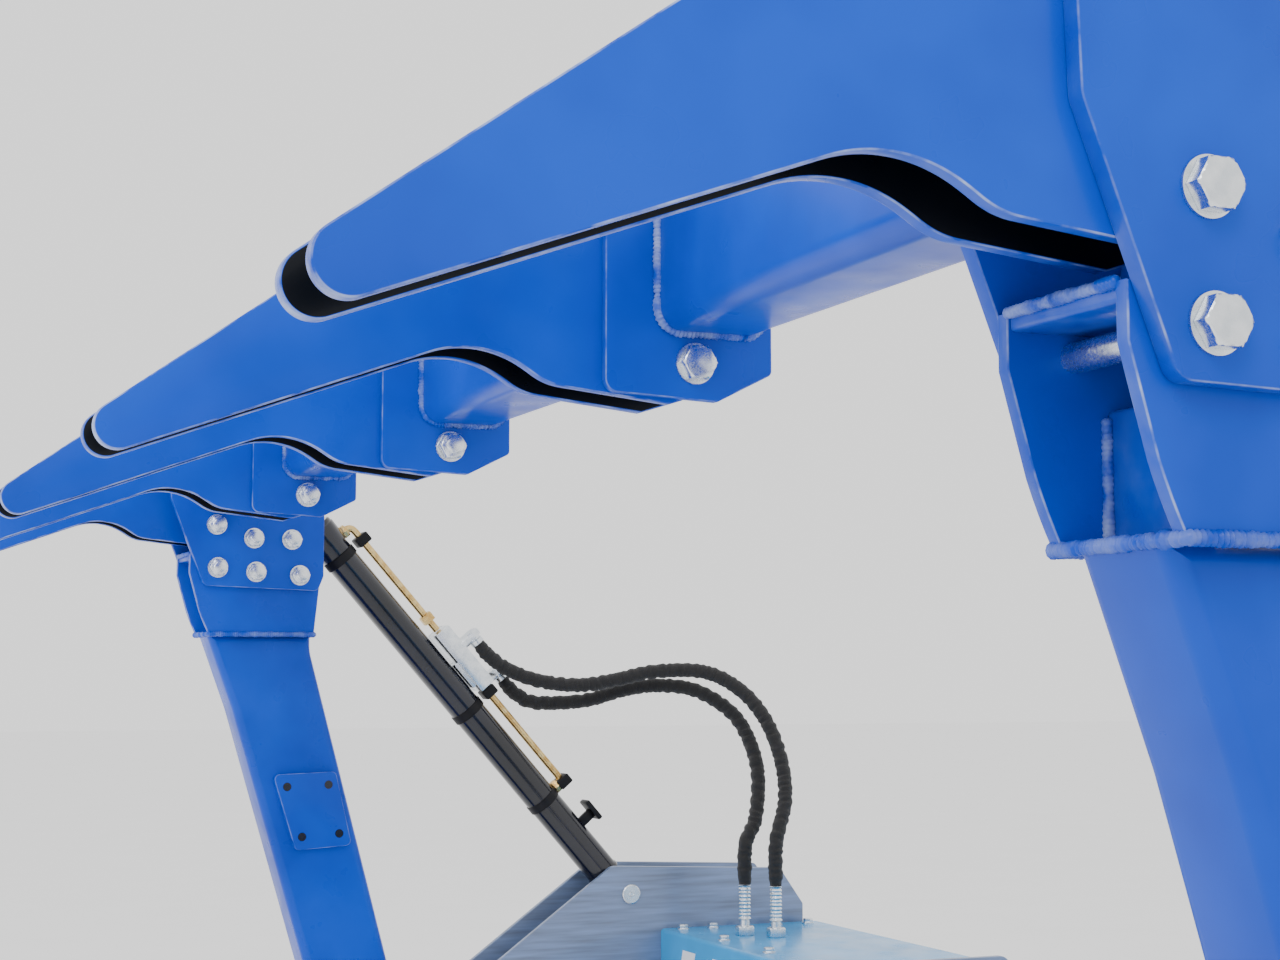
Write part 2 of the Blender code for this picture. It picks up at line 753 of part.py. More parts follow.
def build_base(grey, blue):
    """End plates in pairs, one welded floor frame, the folded deck and two centre plates."""
    holes = [
        (*BARREL_PIN, CYLINDER_PIN_RADIUS + PIN_CLEARANCE),
        (HINGE_Y, HINGE_Z, HINGE_PIN_RADIUS + PIN_CLEARANCE),
    ]
    for end, sign in ((0, 1), (ARM_COUNT - 1, -1)):
        for place, edge in (("outer", 1), ("inner", -1)):
            middle = sign * (LEG_X + edge * (BASE_PLATE_GAP + BASE_PLATE) / 2)
            low, high = middle - BASE_PLATE / 2, middle + BASE_PLATE / 2
            obj = add_mesh(
                f"base_plate_{end}_{place}", outline_mesh(base_plate_outline(), low, high), grey
            )
            drill(obj, holes, low - 0.01, high + 0.01, 24)

    reach = LEG_X - BASE_PLATE_GAP / 2 - BASE_PLATE - GAP
    y0, y1 = DECK_FRONT_Y + DECK_SHEET + GAP, DECK_REAR_Y - DECK_SHEET - GAP
    z0, z1 = 0.400, DECK_TOP_Z - DECK_SHEET - GAP
    beam = bmesh.new()
    outer = rectangle(y0, y1, z0, z1)
    inner = rectangle(y0 + BEAM_WALL, y1 - BEAM_WALL, z0 + BEAM_WALL, z1 - BEAM_WALL)
    rings = [(-reach, outer), (reach, outer), (reach, inner), (-reach, inner)]
    add_loft(beam, [[(x, y, z) for y, z in ring] for x, ring in rings], close=True)
    frame = add_mesh("base_frame", beam, grey)
    pieces = []
    for sign in (1, -1):
        post = sorted((sign * (reach - 0.100), sign * (reach - 0.010)))
        pieces.append(box_mesh(*post, y0 + 0.03, y1 - 0.03, RAIL_HEIGHT / 2, z0 + 0.004))
        rail = sorted((sign * (reach - 0.110), sign * (LEG_X + RAIL_OUTSIDE)))
        pieces.append(box_mesh(*rail, RAIL_FRONT_Y, RAIL_REAR_Y, 0, RAIL_HEIGHT - GAP))
    weld(frame, pieces)
    for sign in (1, -1):
        wall = RAIL_WALL
        inside = sorted((sign * (reach - 0.110 + wall), sign * (LEG_X + RAIL_OUTSIDE - wall)))
        bore = box_mesh(*inside, RAIL_FRONT_Y - 0.1, RAIL_REAR_Y + 0.1, wall, RAIL_HEIGHT - GAP - wall)
        combine(frame, helper(f"rail_bore_{sign}", bore), "DIFFERENCE")

    t = DECK_SHEET
    low = DECK_TOP_Z - DECK_SKIRT
    deck = [
        (DECK_FRONT_Y, low),
        (DECK_FRONT_Y + t, low),
        (DECK_FRONT_Y + t, DECK_TOP_Z - t),
        (DECK_REAR_Y - t, DECK_TOP_Z - t),
        (DECK_REAR_Y - t, low),
        (DECK_REAR_Y, low),
        (DECK_REAR_Y, DECK_TOP_Z),
        (DECK_FRONT_Y, DECK_TOP_Z),
    ]
    add_mesh("deck_cover", outline_mesh(deck, -reach, reach), blue)

    rear = DECK_FRONT_Y - GAP
    lug = filleted(
        [
            (0.115, 0.420, 0.030),
            (0.300, 0.340, 0.030),
            (rear, 0.340, 0),
            (rear, 0.600, 0),
            (0.470, 0.660, 0.015),
            (0.150, 0.660, 0.020),
            (0.115, 0.620, 0.015),
        ],
        segments=3,
    )
    for name, sign in (("centre_plate_plus", 1), ("centre_plate_minus", -1)):
        low, high = sorted((sign * CENTRE_GAP / 2, sign * (CENTRE_GAP / 2 + BASE_PLATE)))
        plate(name, lug, low, high, grey)


def main():
    clear_scene()
    blue = make_material("painted steel, blue", (0.0, 0.12, 0.65), 0.30, 0.0)
    grey = make_material("painted steel, grey", (0.20, 0.24, 0.30), 0.40, 0.0)
    black = make_material("painted barrel, black", (0.01, 0.012, 0.02), 0.25, 0.0)
    zinc = make_material("zinc-plated steel", (0.80, 0.82, 0.84), 0.30, 1.0)
    chrome = make_material("hard chrome", (0.85, 0.85, 0.85), 0.10, 1.0)
    gold = make_material("yellow-passivated steel", (0.75, 0.60, 0.30), 0.35, 1.0)
    rubber = make_material("sleeved rubber hose", (0.01, 0.01, 0.01), 0.70, 0.0)
    frame = add_empty("frame_tilt_axis", (0, HINGE_Y, HINGE_Z))
    build_arms(blue, frame)
    build_tubes(blue, frame)
    build_brackets(blue, zinc, frame)
    build_splice_bolts(zinc, frame)
    for end, sign in ((0, 1), (ARM_COUNT - 1, -1)):
        swing = add_empty(f"cylinder_swing_axis_{end}", (sign * LEG_X, *BARREL_PIN))
        build_leg(end, sign, blue, frame)
        build_cylinder(end, sign, black, chrome, zinc, (frame, swing))
        if sign < 0:
            build_pipes(-LEG_X, gold, zinc, swing)
    build_hoses(rubber, zinc)
    build_base(grey, blue)


main()
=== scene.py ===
import math

import bmesh
import bpy
import numpy as np
from mathutils import Matrix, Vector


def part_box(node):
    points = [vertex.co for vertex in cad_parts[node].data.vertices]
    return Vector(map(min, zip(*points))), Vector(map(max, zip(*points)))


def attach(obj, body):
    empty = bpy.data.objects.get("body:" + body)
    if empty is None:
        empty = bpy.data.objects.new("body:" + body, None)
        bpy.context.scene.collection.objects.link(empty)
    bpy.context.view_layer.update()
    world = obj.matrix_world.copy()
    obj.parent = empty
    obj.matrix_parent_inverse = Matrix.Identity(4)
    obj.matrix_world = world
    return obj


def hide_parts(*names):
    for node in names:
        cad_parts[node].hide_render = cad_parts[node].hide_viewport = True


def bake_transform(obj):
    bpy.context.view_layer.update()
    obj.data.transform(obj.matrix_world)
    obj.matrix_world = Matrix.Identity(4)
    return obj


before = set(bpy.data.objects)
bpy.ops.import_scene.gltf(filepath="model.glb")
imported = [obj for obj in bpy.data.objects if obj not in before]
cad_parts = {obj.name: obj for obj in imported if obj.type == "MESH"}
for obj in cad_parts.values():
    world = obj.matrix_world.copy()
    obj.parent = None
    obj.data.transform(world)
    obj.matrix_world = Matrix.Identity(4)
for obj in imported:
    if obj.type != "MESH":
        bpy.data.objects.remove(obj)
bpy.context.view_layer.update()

bl_info = {
    "name": "Tilting Arm Frame",
    "version": (1, 0, 0),
    "blender": (4, 5, 0),
    "location": "3D View > Sidebar > Arm Frame",
    "description": "Builds the visible pieces and finishes of a tilting arm frame",
    "category": "Add Mesh",
}

MM = 0.001
ENDS = ((0, 1), (4, -1))  # end arm's number and the side of X it stands on
HOSE_ROUTES = {
    "hose_upper": (
        (-1.452, 0.1453, 1.1168), (-1.452, 0.1653, 1.0943), (-1.446, 0.204, 1.066),
        (-1.434, 0.265, 1.043), (-1.415, 0.343, 1.034), (-1.392, 0.412, 1.044),
        (-1.362, 0.487, 1.061), (-1.322, 0.577, 1.060), (-1.290, 0.641, 1.024),
        (-1.260, 0.682, 0.965), (-1.232, 0.702, 0.886), (-1.208, 0.698, 0.809),
        (-1.191, 0.670, 0.730), (-1.190, 0.668, 0.6470),
    ),
    "hose_lower": (
        (-1.488, 0.2073, 1.0465), (-1.488, 0.2273, 1.0240), (-1.484, 0.262, 1.002),
        (-1.474, 0.310, 0.998), (-1.452, 0.378, 1.004), (-1.428, 0.445, 1.024),
        (-1.402, 0.505, 1.033), (-1.368, 0.575, 1.024), (-1.334, 0.634, 0.985),
        (-1.306, 0.662, 0.935), (-1.277, 0.672, 0.862), (-1.252, 0.655, 0.775),
        (-1.241, 0.628, 0.725), (-1.240, 0.625, 0.6470),
    ),
}


# Colour and nodes


def linear(code):
    """The linear colour of an sRGB hex code."""
    values = [int(code[i : i + 2], 16) / 255 for i in (1, 3, 5)]
    return tuple(v / 12.92 if v <= 0.04045 else ((v + 0.055) / 1.055) ** 2.4 for v in values)


def add_node(tree, kind, inputs=(), **settings):
    """Add a node with its settings; inputs maps a socket to a value or to another socket."""
    node = tree.nodes.new(kind)
    for key, value in settings.items():
        setattr(node, key, value)
    for key, value in dict(inputs).items():
        if isinstance(value, bpy.types.NodeSocket):
            tree.links.new(value, node.inputs[key])
        else:
            node.inputs[key].default_value = value
    return node


def start_material(name, **sockets):
    """An empty Principled material whose constant sockets are set on the shader itself."""
    material = bpy.data.materials.new(name)
    material.use_nodes = True
    tree = material.node_tree
    shader = tree.nodes["Principled BSDF"]
    for key, value in sockets.items():
        shader.inputs[key.replace("_", " ")].default_value = value
    place = add_node(tree, "ShaderNodeTexCoord").outputs["Object"]
    return material, tree, shader, place


def add_noise(tree, place, size_mm, detail=3.0):
    """Noise whose blobs are about size_mm across."""
    scale = 1 / (size_mm * MM)
    node = add_node(
        tree, "ShaderNodeTexNoise", {"Vector": place, "Scale": scale, "Detail": detail}
    )
    return node.outputs["Fac"]


def ramp(tree, value, low, high, out_low=0.0, out_high=1.0):
    """Map value from low..high to out_low..out_high, clamped."""
    sockets = {0: value, 1: low, 2: high, 3: out_low, 4: out_high}
    return add_node(tree, "ShaderNodeMapRange", sockets).outputs[0]


def mix(tree, factor, first, second):
    node = add_node(tree, "ShaderNodeMix", data_type="RGBA")
    for socket, value in (("Factor_Float", factor), ("A_Color", first), ("B_Color", second)):
        target = next(s for s in node.inputs if s.identifier == socket)
        if isinstance(value, bpy.types.NodeSocket):
            tree.links.new(value, target)
        else:
            target.default_value = (*value, 1.0) if isinstance(value, tuple) else value
    return next(s for s in node.outputs if s.identifier == "Result_Color")


def multiply(tree, first, second):
    return add_node(tree, "ShaderNodeMath", {0: first, 1: second}, operation="MULTIPLY").outputs[0]


def add_bump(tree, shader, height, depth_mm, strength=0.4):
    sockets = {"Height": height, "Distance": depth_mm * MM, "Strength": strength}
    bump = add_node(tree, "ShaderNodeBump", sockets)
    tree.links.new(bump.outputs["Normal"], shader.inputs["Normal"])


# The last colour is the near-black painted shade for the inner faces of paired plates.
def enamel(name, colour, shade, edge_highlight_and_chip, roughness=0.30, coat=0.06, painted_shade_colour="#01050F"):
    """Sprayed enamel on steel: faint orange peel, uneven gloss, and pale cut edges that are partly chipped
    paint and partly a painted highlight.

    A per-point value above 0 on an edge draws it pale, partly chipped paint and partly a painted highlight;
    -1 marks an inner face drawn near-black as painted shade.
    """
    material, tree, shader, place = start_material(
        name, Coat_Weight=coat, Coat_Roughness=0.10, Specular_IOR_Level=0.20
    )
    # the drift is a hand's width across, as in spray passes
    drift = ramp(tree, add_noise(tree, place, 160.0), 0.35, 0.65)
    body = mix(tree, drift, shade, colour)
    # This attribute carries chipped paint with a painted edge highlight above 0, and painted shade at -1.
    wear_and_painted_light = add_node(tree, "ShaderNodeAttribute", attribute_name="wear_and_painted_light").outputs["Fac"]
    # Pale edges: a painted highlight along the rounded edges, broken by speckle, with chipped paint where the
    # value is high.
    speckle = ramp(tree, add_noise(tree, place, 25.0, 4.0), 0.38, 0.72, 0.0, 0.8)
    highlight_and_bare = multiply(tree, ramp(tree, wear_and_painted_light, 0.0, 1.0), speckle)
    # The near-black mixed in on inner faces is painted shade between the paired plates.
    painted_shade_face = ramp(tree, wear_and_painted_light, -0.4, -1.0)
    coated = mix(tree, painted_shade_face, body, linear(painted_shade_colour))
    tree.links.new(mix(tree, highlight_and_bare, coated, edge_highlight_and_chip), shader.inputs["Base Color"])
    gloss = ramp(tree, add_noise(tree, place, 60.0), 0.3, 0.7, roughness - 0.05, roughness + 0.08)
    tree.links.new(gloss, shader.inputs["Roughness"])
    add_bump(tree, shader, add_noise(tree, place, 3.0, 2.0), 0.10, 0.25)
    return material


def plated(name, colour, shade, roughness, grain_mm=6.0):
    """Plated or passivated steel: a metal with cloudy tone and fine handling marks."""
    material, tree, shader, place = start_material(name, Metallic=1.0)
    cloud = ramp(tree, add_noise(tree, place, grain_mm, 5.0), 0.35, 0.65)
    tree.links.new(mix(tree, cloud, shade, colour), shader.inputs["Base Color"])
    rough = ramp(tree, add_noise(tree, place, 2.0, 4.0), 0.3, 0.7, roughness - 0.06, roughness + 0.1)
    tree.links.new(rough, shader.inputs["Roughness"])
    add_bump(tree, shader, add_noise(tree, place, 1.5, 3.0), 0.02, 0.12)
    return material


def rolled_plate(name, colour, shade):
    """Rolled steel plate under a thin satin coat: streaks along the rolling direction, Y."""
    material, tree, shader, place = start_material(name, Metallic=0.35, Coat_Weight=0.2)
    squeezed = add_node(
        tree, "ShaderNodeMapping", {"Vector": place, "Scale": (1.0, 0.06, 1.0)}
    ).outputs[0]
    streak = ramp(tree, add_noise(tree, squeezed, 9.0, 5.0), 0.3, 0.7)
    tree.links.new(mix(tree, streak, shade, colour), shader.inputs["Base Color"])
    rough = ramp(tree, add_noise(tree, squeezed, 4.0), 0.3, 0.7, 0.30, 0.48)
    tree.links.new(rough, shader.inputs["Roughness"])
    add_bump(tree, shader, streak, 0.05, 0.2)
    return material


def woven_sleeve(name, colour, light):
    """Braided textile sleeve: two crossed sets of yarns, about 0.5 mm apart, on the tube's UVs, drawn lighter
    on the yarn crowns as a painted sheen.
    """
    material, tree, shader, _ = start_material(name, Roughness=0.78, Sheen_Weight=0.12)
    uv = add_node(tree, "ShaderNodeUVMap", uv_map="UVMap").outputs["UV"]
    heights = []
    for angle in (0.8, -0.8):
        turned = add_node(
            tree, "ShaderNodeMapping", {"Vector": uv, "Rotation": (0.0, 0.0, angle)}
        ).outputs[0]
        wave = add_node(tree, "ShaderNodeTexWave", {"Vector": turned, "Scale": 60.0})
        heights.append(wave.outputs["Fac"])
    weave = multiply(tree, *heights)
    # The lighter colour where both yarn sets peak is a painted sheen on the crowns.
    tree.links.new(mix(tree, ramp(tree, weave, 0.5, 1.0), colour, light), shader.inputs["Base Color"])
    add_bump(tree, shader, weave, 0.5, 0.6)
    return material


# Shapes. A part is (points, faces, values): points is an array, faces are index tuples, and the values mark
# pale edges (chipped paint with a painted highlight) and near-black painted shade


def join_parts(parts):
    """One part from many, with the face indices shifted."""
    points, faces, wear_and_painted_light, shift = [], [], [], 0
    for part_points, part_faces, part_wear_and_painted_light in parts:
        points.append(part_points)
        wear_and_painted_light.append(part_wear_and_painted_light)
        faces += [tuple(i + shift for i in face) for face in part_faces]
        shift += len(part_points)
    return np.concatenate(points), faces, np.concatenate(wear_and_painted_light)


def loft(rings, wear_and_painted_light=0.0):
    """Rings of n points each, an (m, n, 3) array, joined by quads and capped at both ends."""
    m, n, _ = rings.shape
    row, col = np.mgrid[0 : m - 1, 0:n]
    after = (col + 1) % n
    quads = np.stack([row * n + col, row * n + after, (row + 1) * n + after, (row + 1) * n + col], -1)
    faces = [tuple(q) for q in quads.reshape(-1, 4).tolist()]
    faces += [tuple(range(n)), tuple(range((m - 1) * n, m * n))]
    shade = np.broadcast_to(np.asarray(wear_and_painted_light, float).reshape(-1, 1), (m, n)).reshape(-1)
    return rings.reshape(-1, 3), faces, shade.copy()


def add_piece(name, part, material, body, replaced=(), angle=35.0):
    """Make the part an object with outward faces, and hide what it replaces.

    It rides on its body, or on none where body is None.
    """
    points, faces, wear_and_painted_light = part
    mesh = bpy.data.meshes.new(name)
    mesh.from_pydata(points.tolist(), [], faces)
    bm = bmesh.new()
    bm.from_mesh(mesh)
    bmesh.ops.recalc_face_normals(bm, faces=bm.faces)
    bm.to_mesh(mesh)
    bm.free()
    # The per-point value drives pale painted-highlight edges, chipped paint and near-black painted shade.
    attribute = mesh.attributes.new("wear_and_painted_light", "FLOAT", "POINT")
    attribute.data.foreach_set("value", wear_and_painted_light.astype(np.float32))
    mesh.shade_smooth()
    mesh.set_sharp_from_angle(angle=math.radians(angle))
    mesh.materials.append(material)
    obj = bpy.data.objects.new(name, mesh)
    bpy.context.scene.collection.objects.link(obj)
    if body:
        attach(obj, body)
    if replaced:
        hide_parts(*replaced)
    return obj


def trace(node, side):
    """The outline, in Y and Z, of a node's flat face at its +X or -X end, anticlockwise."""
    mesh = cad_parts[node].data
    mesh.calc_loop_triangles()
    points = np.empty(len(mesh.vertices) * 3)
    mesh.vertices.foreach_get("co", points)
    points = points.reshape(-1, 3)
    tris = np.empty(len(mesh.loop_triangles) * 3, int)
    mesh.loop_triangles.foreach_get("vertices", tris)
    _, first, index = np.unique(
        np.round(points, 5), axis=0, return_index=True, return_inverse=True
    )
    points = points[first]
    tris = index.reshape(-1)[tris].reshape(-1, 3)
    limit = points[:, 0].max() if side > 0 else points[:, 0].min()
    flat = tris[(np.abs(points[tris][:, :, 0] - limit) < 2e-5).all(axis=1)]
    edges = {tuple(e) for t in flat.tolist() for e in ((t[0], t[1]), (t[1], t[2]), (t[2], t[0]))}
    follow = {a: b for a, b in edges if (b, a) not in edges}
    best, most = None, 0.0
    while follow:
        start = next(iter(follow))
        loop = [start]
        while loop[-1] in follow:
            loop.append(follow.pop(loop[-1]))
        ring = points[loop[:-1]][:, 1:]
        area = signed_area(ring)
        if abs(area) > abs(most):
            best, most = ring, area
    return drop_straight(best if most > 0 else best[::-1])


def signed_area(ring):
    after = np.roll(ring, -1, axis=0)
    return float((ring[:, 0] * after[:, 1] - ring[:, 1] * after[:, 0]).sum() / 2)


def turns(ring):
    """The turn at each point of a closed outline, in radians, left turns positive."""
    before = ring - np.roll(ring, 1, axis=0)
    after = np.roll(ring, -1, axis=0) - ring
    cross = before[:, 0] * after[:, 1] - before[:, 1] * after[:, 0]
    return np.arctan2(cross, (before * after).sum(axis=1))


def drop_straight(ring):
    return ring[np.abs(turns(ring)) > math.radians(0.4)]


def refine(ring, times=2):
    """Halve each edge of a rounded stretch, with its middle moved out onto the circle through it."""
    for _ in range(times):
        after = np.roll(ring, -1, axis=0)
        chord = after - ring
        length = np.linalg.norm(chord, axis=1)
        turn = turns(ring)
        turn_after = np.roll(turn, -1)
        smooth = np.abs(turn) < math.radians(32)
        smooth_after = np.roll(smooth, -1)
        short = np.abs(length / np.roll(length, 1) - 1) < 0.35
        short_after = np.abs(length / np.roll(length, -1) - 1) < 0.35
        near = np.where(smooth & short, turn, 0.0)
        far = np.where(smooth_after & short_after, turn_after, 0.0)
        angle = np.where((near != 0) & (far != 0), (near + far) / 2, near + far)
        out = np.stack([chord[:, 1], -chord[:, 0]], axis=1)
        middle = (ring + after) / 2 + out * (np.tan(angle / 4) / 2)[:, None]
        keep = np.stack([ring, middle], axis=1).reshape(-1, 2)
        mask = np.stack([np.ones(len(ring), bool), angle != 0], axis=1).reshape(-1)
        ring = keep[mask]
    return ring


def inset(ring, distance):
    """The anticlockwise outline moved inwards, with mitred corners."""
    before = ring - np.roll(ring, 1, axis=0)
    after = np.roll(ring, -1, axis=0) - ring
    normals = []
    for edge in (before, after):
        edge = edge / np.linalg.norm(edge, axis=1, keepdims=True)
        normals.append(np.stack([-edge[:, 1], edge[:, 0]], axis=1))
    total = normals[0] + normals[1]
    return ring + total * distance / np.maximum((total**2).sum(axis=1, keepdims=True) / 2, 0.35)


def plate_part(ring, low, high, radius, steps=3, wear_and_painted_light=1.0, painted_shade_face=0):
    """The outline between two planes of X, its edges rounded by quarter circles of radius.

    The last argument is the side, -1 or 1, of a face that is drawn near-black as painted shade, or 0 for
    neither.
    """
    angles = np.linspace(0, math.pi / 2, steps + 1)
    depth = np.concatenate([radius * (1 - np.cos(angles)), radius * (1 - np.cos(angles))[::-1]])
    pull = radius * (1 - np.sin(angles))
    pull = np.concatenate([pull, pull[::-1]])
    xs = np.where(np.arange(len(depth)) <= steps, low + depth, high - depth)
    rings = []
    for x, distance in zip(xs, pull):
        outline = inset(ring, distance)
        rings.append(np.column_stack([np.full(len(outline), x), outline]))
    # Rounded edge rows take the full value and are drawn pale: a painted highlight with some chipped paint.
    shade = np.full(len(xs), 0.12 * wear_and_painted_light)
    shade[1:steps] = shade[-steps:-1] = wear_and_painted_light
    # An end face marked -1 is drawn near-black: painted shade.
    shade[0] = -1.0 if painted_shade_face < 0 else 0.0
    shade[-1] = -1.0 if painted_shade_face > 0 else 0.0
    return loft(np.array(rings), shade)


def rounded_rectangle(y0, y1, z0, z1, radius, segments=8):
    """Four quarter circles, anticlockwise from the lower right corner."""
    angles = np.linspace(0, math.pi / 2, segments + 1)
    corners = ((y1 - radius, z0 + radius, -1), (y1 - radius, z1 - radius, 0))
    corners += ((y0 + radius, z1 - radius, 1), (y0 + radius, z0 + radius, 2))
    rings = []
    for y, z, quarter in corners:
        turned = angles + quarter * math.pi / 2
        rings.append(np.column_stack([y + radius * np.cos(turned), z + radius * np.sin(turned)]))
    return np.concatenate(rings)


def slab_part(low, high, radius=1.5 * MM, corner=3 * MM, wear_and_painted_light=0.6):
    """A box with rounded edges, between its low and high corners."""
    ring = rounded_rectangle(low[1], high[1], low[2], high[2], corner, 3)
    return plate_part(ring, low[0], high[0], radius, 2, wear_and_painted_light)


def turned_part(origin, direction, profile, sides=48, wear_and_painted_light=0.0):
    """A profile of (distance, radius) turned about the line from origin along direction."""
    profile = np.asarray(profile, float)
    along = np.asarray(direction, float) / np.linalg.norm(direction)
    other = np.array([1.0, 0, 0]) if abs(along[0]) < 0.9 else np.array([0, 1.0, 0])
    across = np.cross(along, other)
    across /= np.linalg.norm(across)
    up = np.cross(along, across)
    angle = np.linspace(0, 2 * math.pi, sides, endpoint=False)
    circle = np.cos(angle)[:, None] * across + np.sin(angle)[:, None] * up
    rings = (
        np.asarray(origin)
        + profile[:, 0, None, None] * along
        + profile[:, 1, None, None] * circle[None]
    )
    return loft(rings, wear_and_painted_light)


def hex_part(origin, direction, flats, height, sides=60, wear_and_painted_light=0.0):
    """A hexagon whose top is cut by a 30 degree cone: radius is the smaller of the two."""
    along = np.asarray(direction, float)
    other = np.array([1.0, 0, 0]) if abs(along[0]) < 0.9 else np.array([0, 1.0, 0])
    across = np.cross(along, other)
    up = np.cross(along, across)
    angle = np.linspace(0, 2 * math.pi, sides, endpoint=False)
    wrapped = (angle + math.pi / 6) % (math.pi / 3) - math.pi / 6
    flat = flats / 2 / np.cos(wrapped)
    levels = height * np.array([0, 0.05, 0.70, 0.78, 0.86, 0.93, 1.0])
    cone = flats / 2 * 0.95 + (height - levels) / math.tan(math.radians(30))
    radius = np.minimum(flat[None], cone[:, None])
    radius[0] *= 0.97
    circle = np.cos(angle)[:, None] * across + np.sin(angle)[:, None] * up
    rings = np.asarray(origin) + levels[:, None, None] * along + radius[..., None] * circle[None]
    return loft(rings, wear_and_painted_light)


def tube_part(path, radius, sides=16, reference=(1.0, 0.0, 0.0), closed=False, wear_and_painted_light=0.0):
    """A circle of the given radius, one value or one for each point, carried along the path."""
    path = np.asarray(path, float)
    if closed:
        path = np.concatenate([path, path[:1]])
        tangent = np.roll(path[:-1], -1, axis=0) - np.roll(path[:-1], 1, axis=0)
        tangent = np.concatenate([tangent, tangent[:1]])
    else:
        tangent = np.gradient(path, axis=0)
    tangent /= np.linalg.norm(tangent, axis=1, keepdims=True)
    across = np.cross(tangent, np.asarray(reference))
    across /= np.linalg.norm(across, axis=1, keepdims=True)
    up = np.cross(across, tangent)
    angle = np.linspace(0, 2 * math.pi, sides, endpoint=False)
    size = np.broadcast_to(radius, (len(path),))[:, None, None]
    rings = path[:, None] + size * (
        np.cos(angle)[None, :, None] * across[:, None] + np.sin(angle)[None, :, None] * up[:, None]
    )
    return loft(rings, wear_and_painted_light)


def along_path(points, step):
    """Points a fixed step apart along a broken line, ends included."""
    points = np.asarray(points, float)
    lengths = np.linalg.norm(np.diff(points, axis=0), axis=1)
    place = np.concatenate([[0], np.cumsum(lengths)])
    wanted = np.linspace(0, place[-1], max(int(place[-1] / step), 3) + 1)
    return np.column_stack([np.interp(wanted, place, points[:, k]) for k in range(3)])


def bead_part(points, radius, reference, seed, wear_and_painted_light=0.7):
    """A weld bead: a tube whose radius swells once for each 4 mm ripple, with random lumps."""
    path = along_path(points, 1.3 * MM)
    lumps = np.random.default_rng(seed).normal(0, 1, len(path))
    lumps = np.convolve(lumps, np.ones(5) / 5, mode="same")
    ripple = np.sin(np.arange(len(path)) * 1.3 * MM / (4 * MM) * 2 * math.pi)
    size = radius * (1 + 0.13 * ripple + 0.16 * lumps)
    size[[0, -1]] *= 0.6
    # The bead's pale speckle is partly chipped paint and partly a painted highlight.
    return tube_part(path, size, 10, reference, wear_and_painted_light=wear_and_painted_light)


def smooth_path(points, steps):
    """The Catmull-Rom curve through the points, steps to a span."""
    p = np.asarray(points, float)
    p = np.concatenate([[2 * p[0] - p[1]], p, [2 * p[-1] - p[-2]]])
    t = np.linspace(0, 1, steps, endpoint=False)[:, None]
    a, b, c, d = (p[i : len(p) - 3 + i, None] for i in range(4))
    curve = (
        2 * b + (c - a) * t + (2 * a - 5 * b + 4 * c - d) * t**2 + (3 * b - a - 3 * c + d) * t**3
    ) / 2
    return np.concatenate([curve.reshape(-1, 3), p[-2:-1]])


def bolt_part(y, z, nut_face, head_face, sign=1):
    """A hexagon bolt along X: head, washers, shank, nut and the threaded end."""
    flats, head, washer, shank = 30 * MM, 12.5 * MM, 2.5 * MM, 10 * MM
    ring = np.array([(0, 0.9), (0.08, 1.0), (0.92, 1.0), (1.0, 0.9)]) * (washer, 19 * MM)
    pitch = 2.5 * MM
    count = 10
    thread = [(i * pitch / 2, shank + (0.3 if i % 2 else -0.6) * MM) for i in range(count)]
    thread += [(count * pitch / 2 - 0.4 * MM, shank - 2.2 * MM)]
    end = nut_face - sign * washer
    return join_parts(
        [
            turned_part((head_face, y, z), (sign, 0, 0), ring),
            hex_part((head_face + sign * washer, y, z), (sign, 0, 0), flats, head),
            turned_part((nut_face, y, z), (-sign, 0, 0), ring),
            hex_part((end, y, z), (-sign, 0, 0), flats, 15 * MM),
            turned_part((end - sign * 13 * MM, y, z), (-sign, 0, 0), thread, 32),
            turned_part(
                (nut_face, y, z), (sign, 0, 0), [(0, shank), (abs(head_face - nut_face), shank)], 32
            ),
        ]
    )


def centre(node):
    low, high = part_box(node)
    return (np.asarray(low) + np.asarray(high)) / 2


# Settings


class FrameFinishes(bpy.types.PropertyGroup):
    """Colours of the finishes."""

    blue: bpy.props.FloatVectorProperty(
        name="Blue enamel", description="Frame colour", subtype="COLOR", default=linear("#0048C4")
    )
    blue_shade: bpy.props.FloatVectorProperty(
        name="Blue shade", description="Thin or shaded enamel", subtype="COLOR",
        default=linear("#003CB0"),
    )
    # The pale edge colour: mostly a painted highlight along rounded edges, and chipped paint at a worn nose.
    edge_highlight_and_chip: bpy.props.FloatVectorProperty(
        name="Chipped edge", description="Bare edge", subtype="COLOR", default=linear("#C9DAEE")
    )
    deck: bpy.props.FloatVectorProperty(
        name="Deck enamel", description="Deck colour", subtype="COLOR", default=linear("#2E9FE0")
    )
    grey: bpy.props.FloatVectorProperty(
        name="Base plate", description="Base plate colour", subtype="COLOR",
        default=linear("#7D92B8"),
    )


class FrameSizes(bpy.types.PropertyGroup):
    """Sizes of the fine detail that the CAD model leaves out."""

    edge_radius: bpy.props.FloatProperty(
        name="Edge radius", description="Rounding of cut plate edges", subtype="DISTANCE",
        unit="LENGTH", default=1.4 * MM,
    )
    fold_radius: bpy.props.FloatProperty(
        name="Fold radius", description="Bend radius of the folded legs", subtype="DISTANCE",
        unit="LENGTH", default=16 * MM,
    )
    bead_radius: bpy.props.FloatProperty(
        name="Weld bead", description="Radius of a fillet weld's bead", subtype="DISTANCE",
        unit="LENGTH", default=5 * MM,
    )
    hose_diameter: bpy.props.FloatProperty(
        name="Hose diameter", description="Outside of the sleeve", subtype="DISTANCE",
        unit="LENGTH", default=30 * MM,
    )


def sizes():
    return bpy.context.scene.frame_sizes


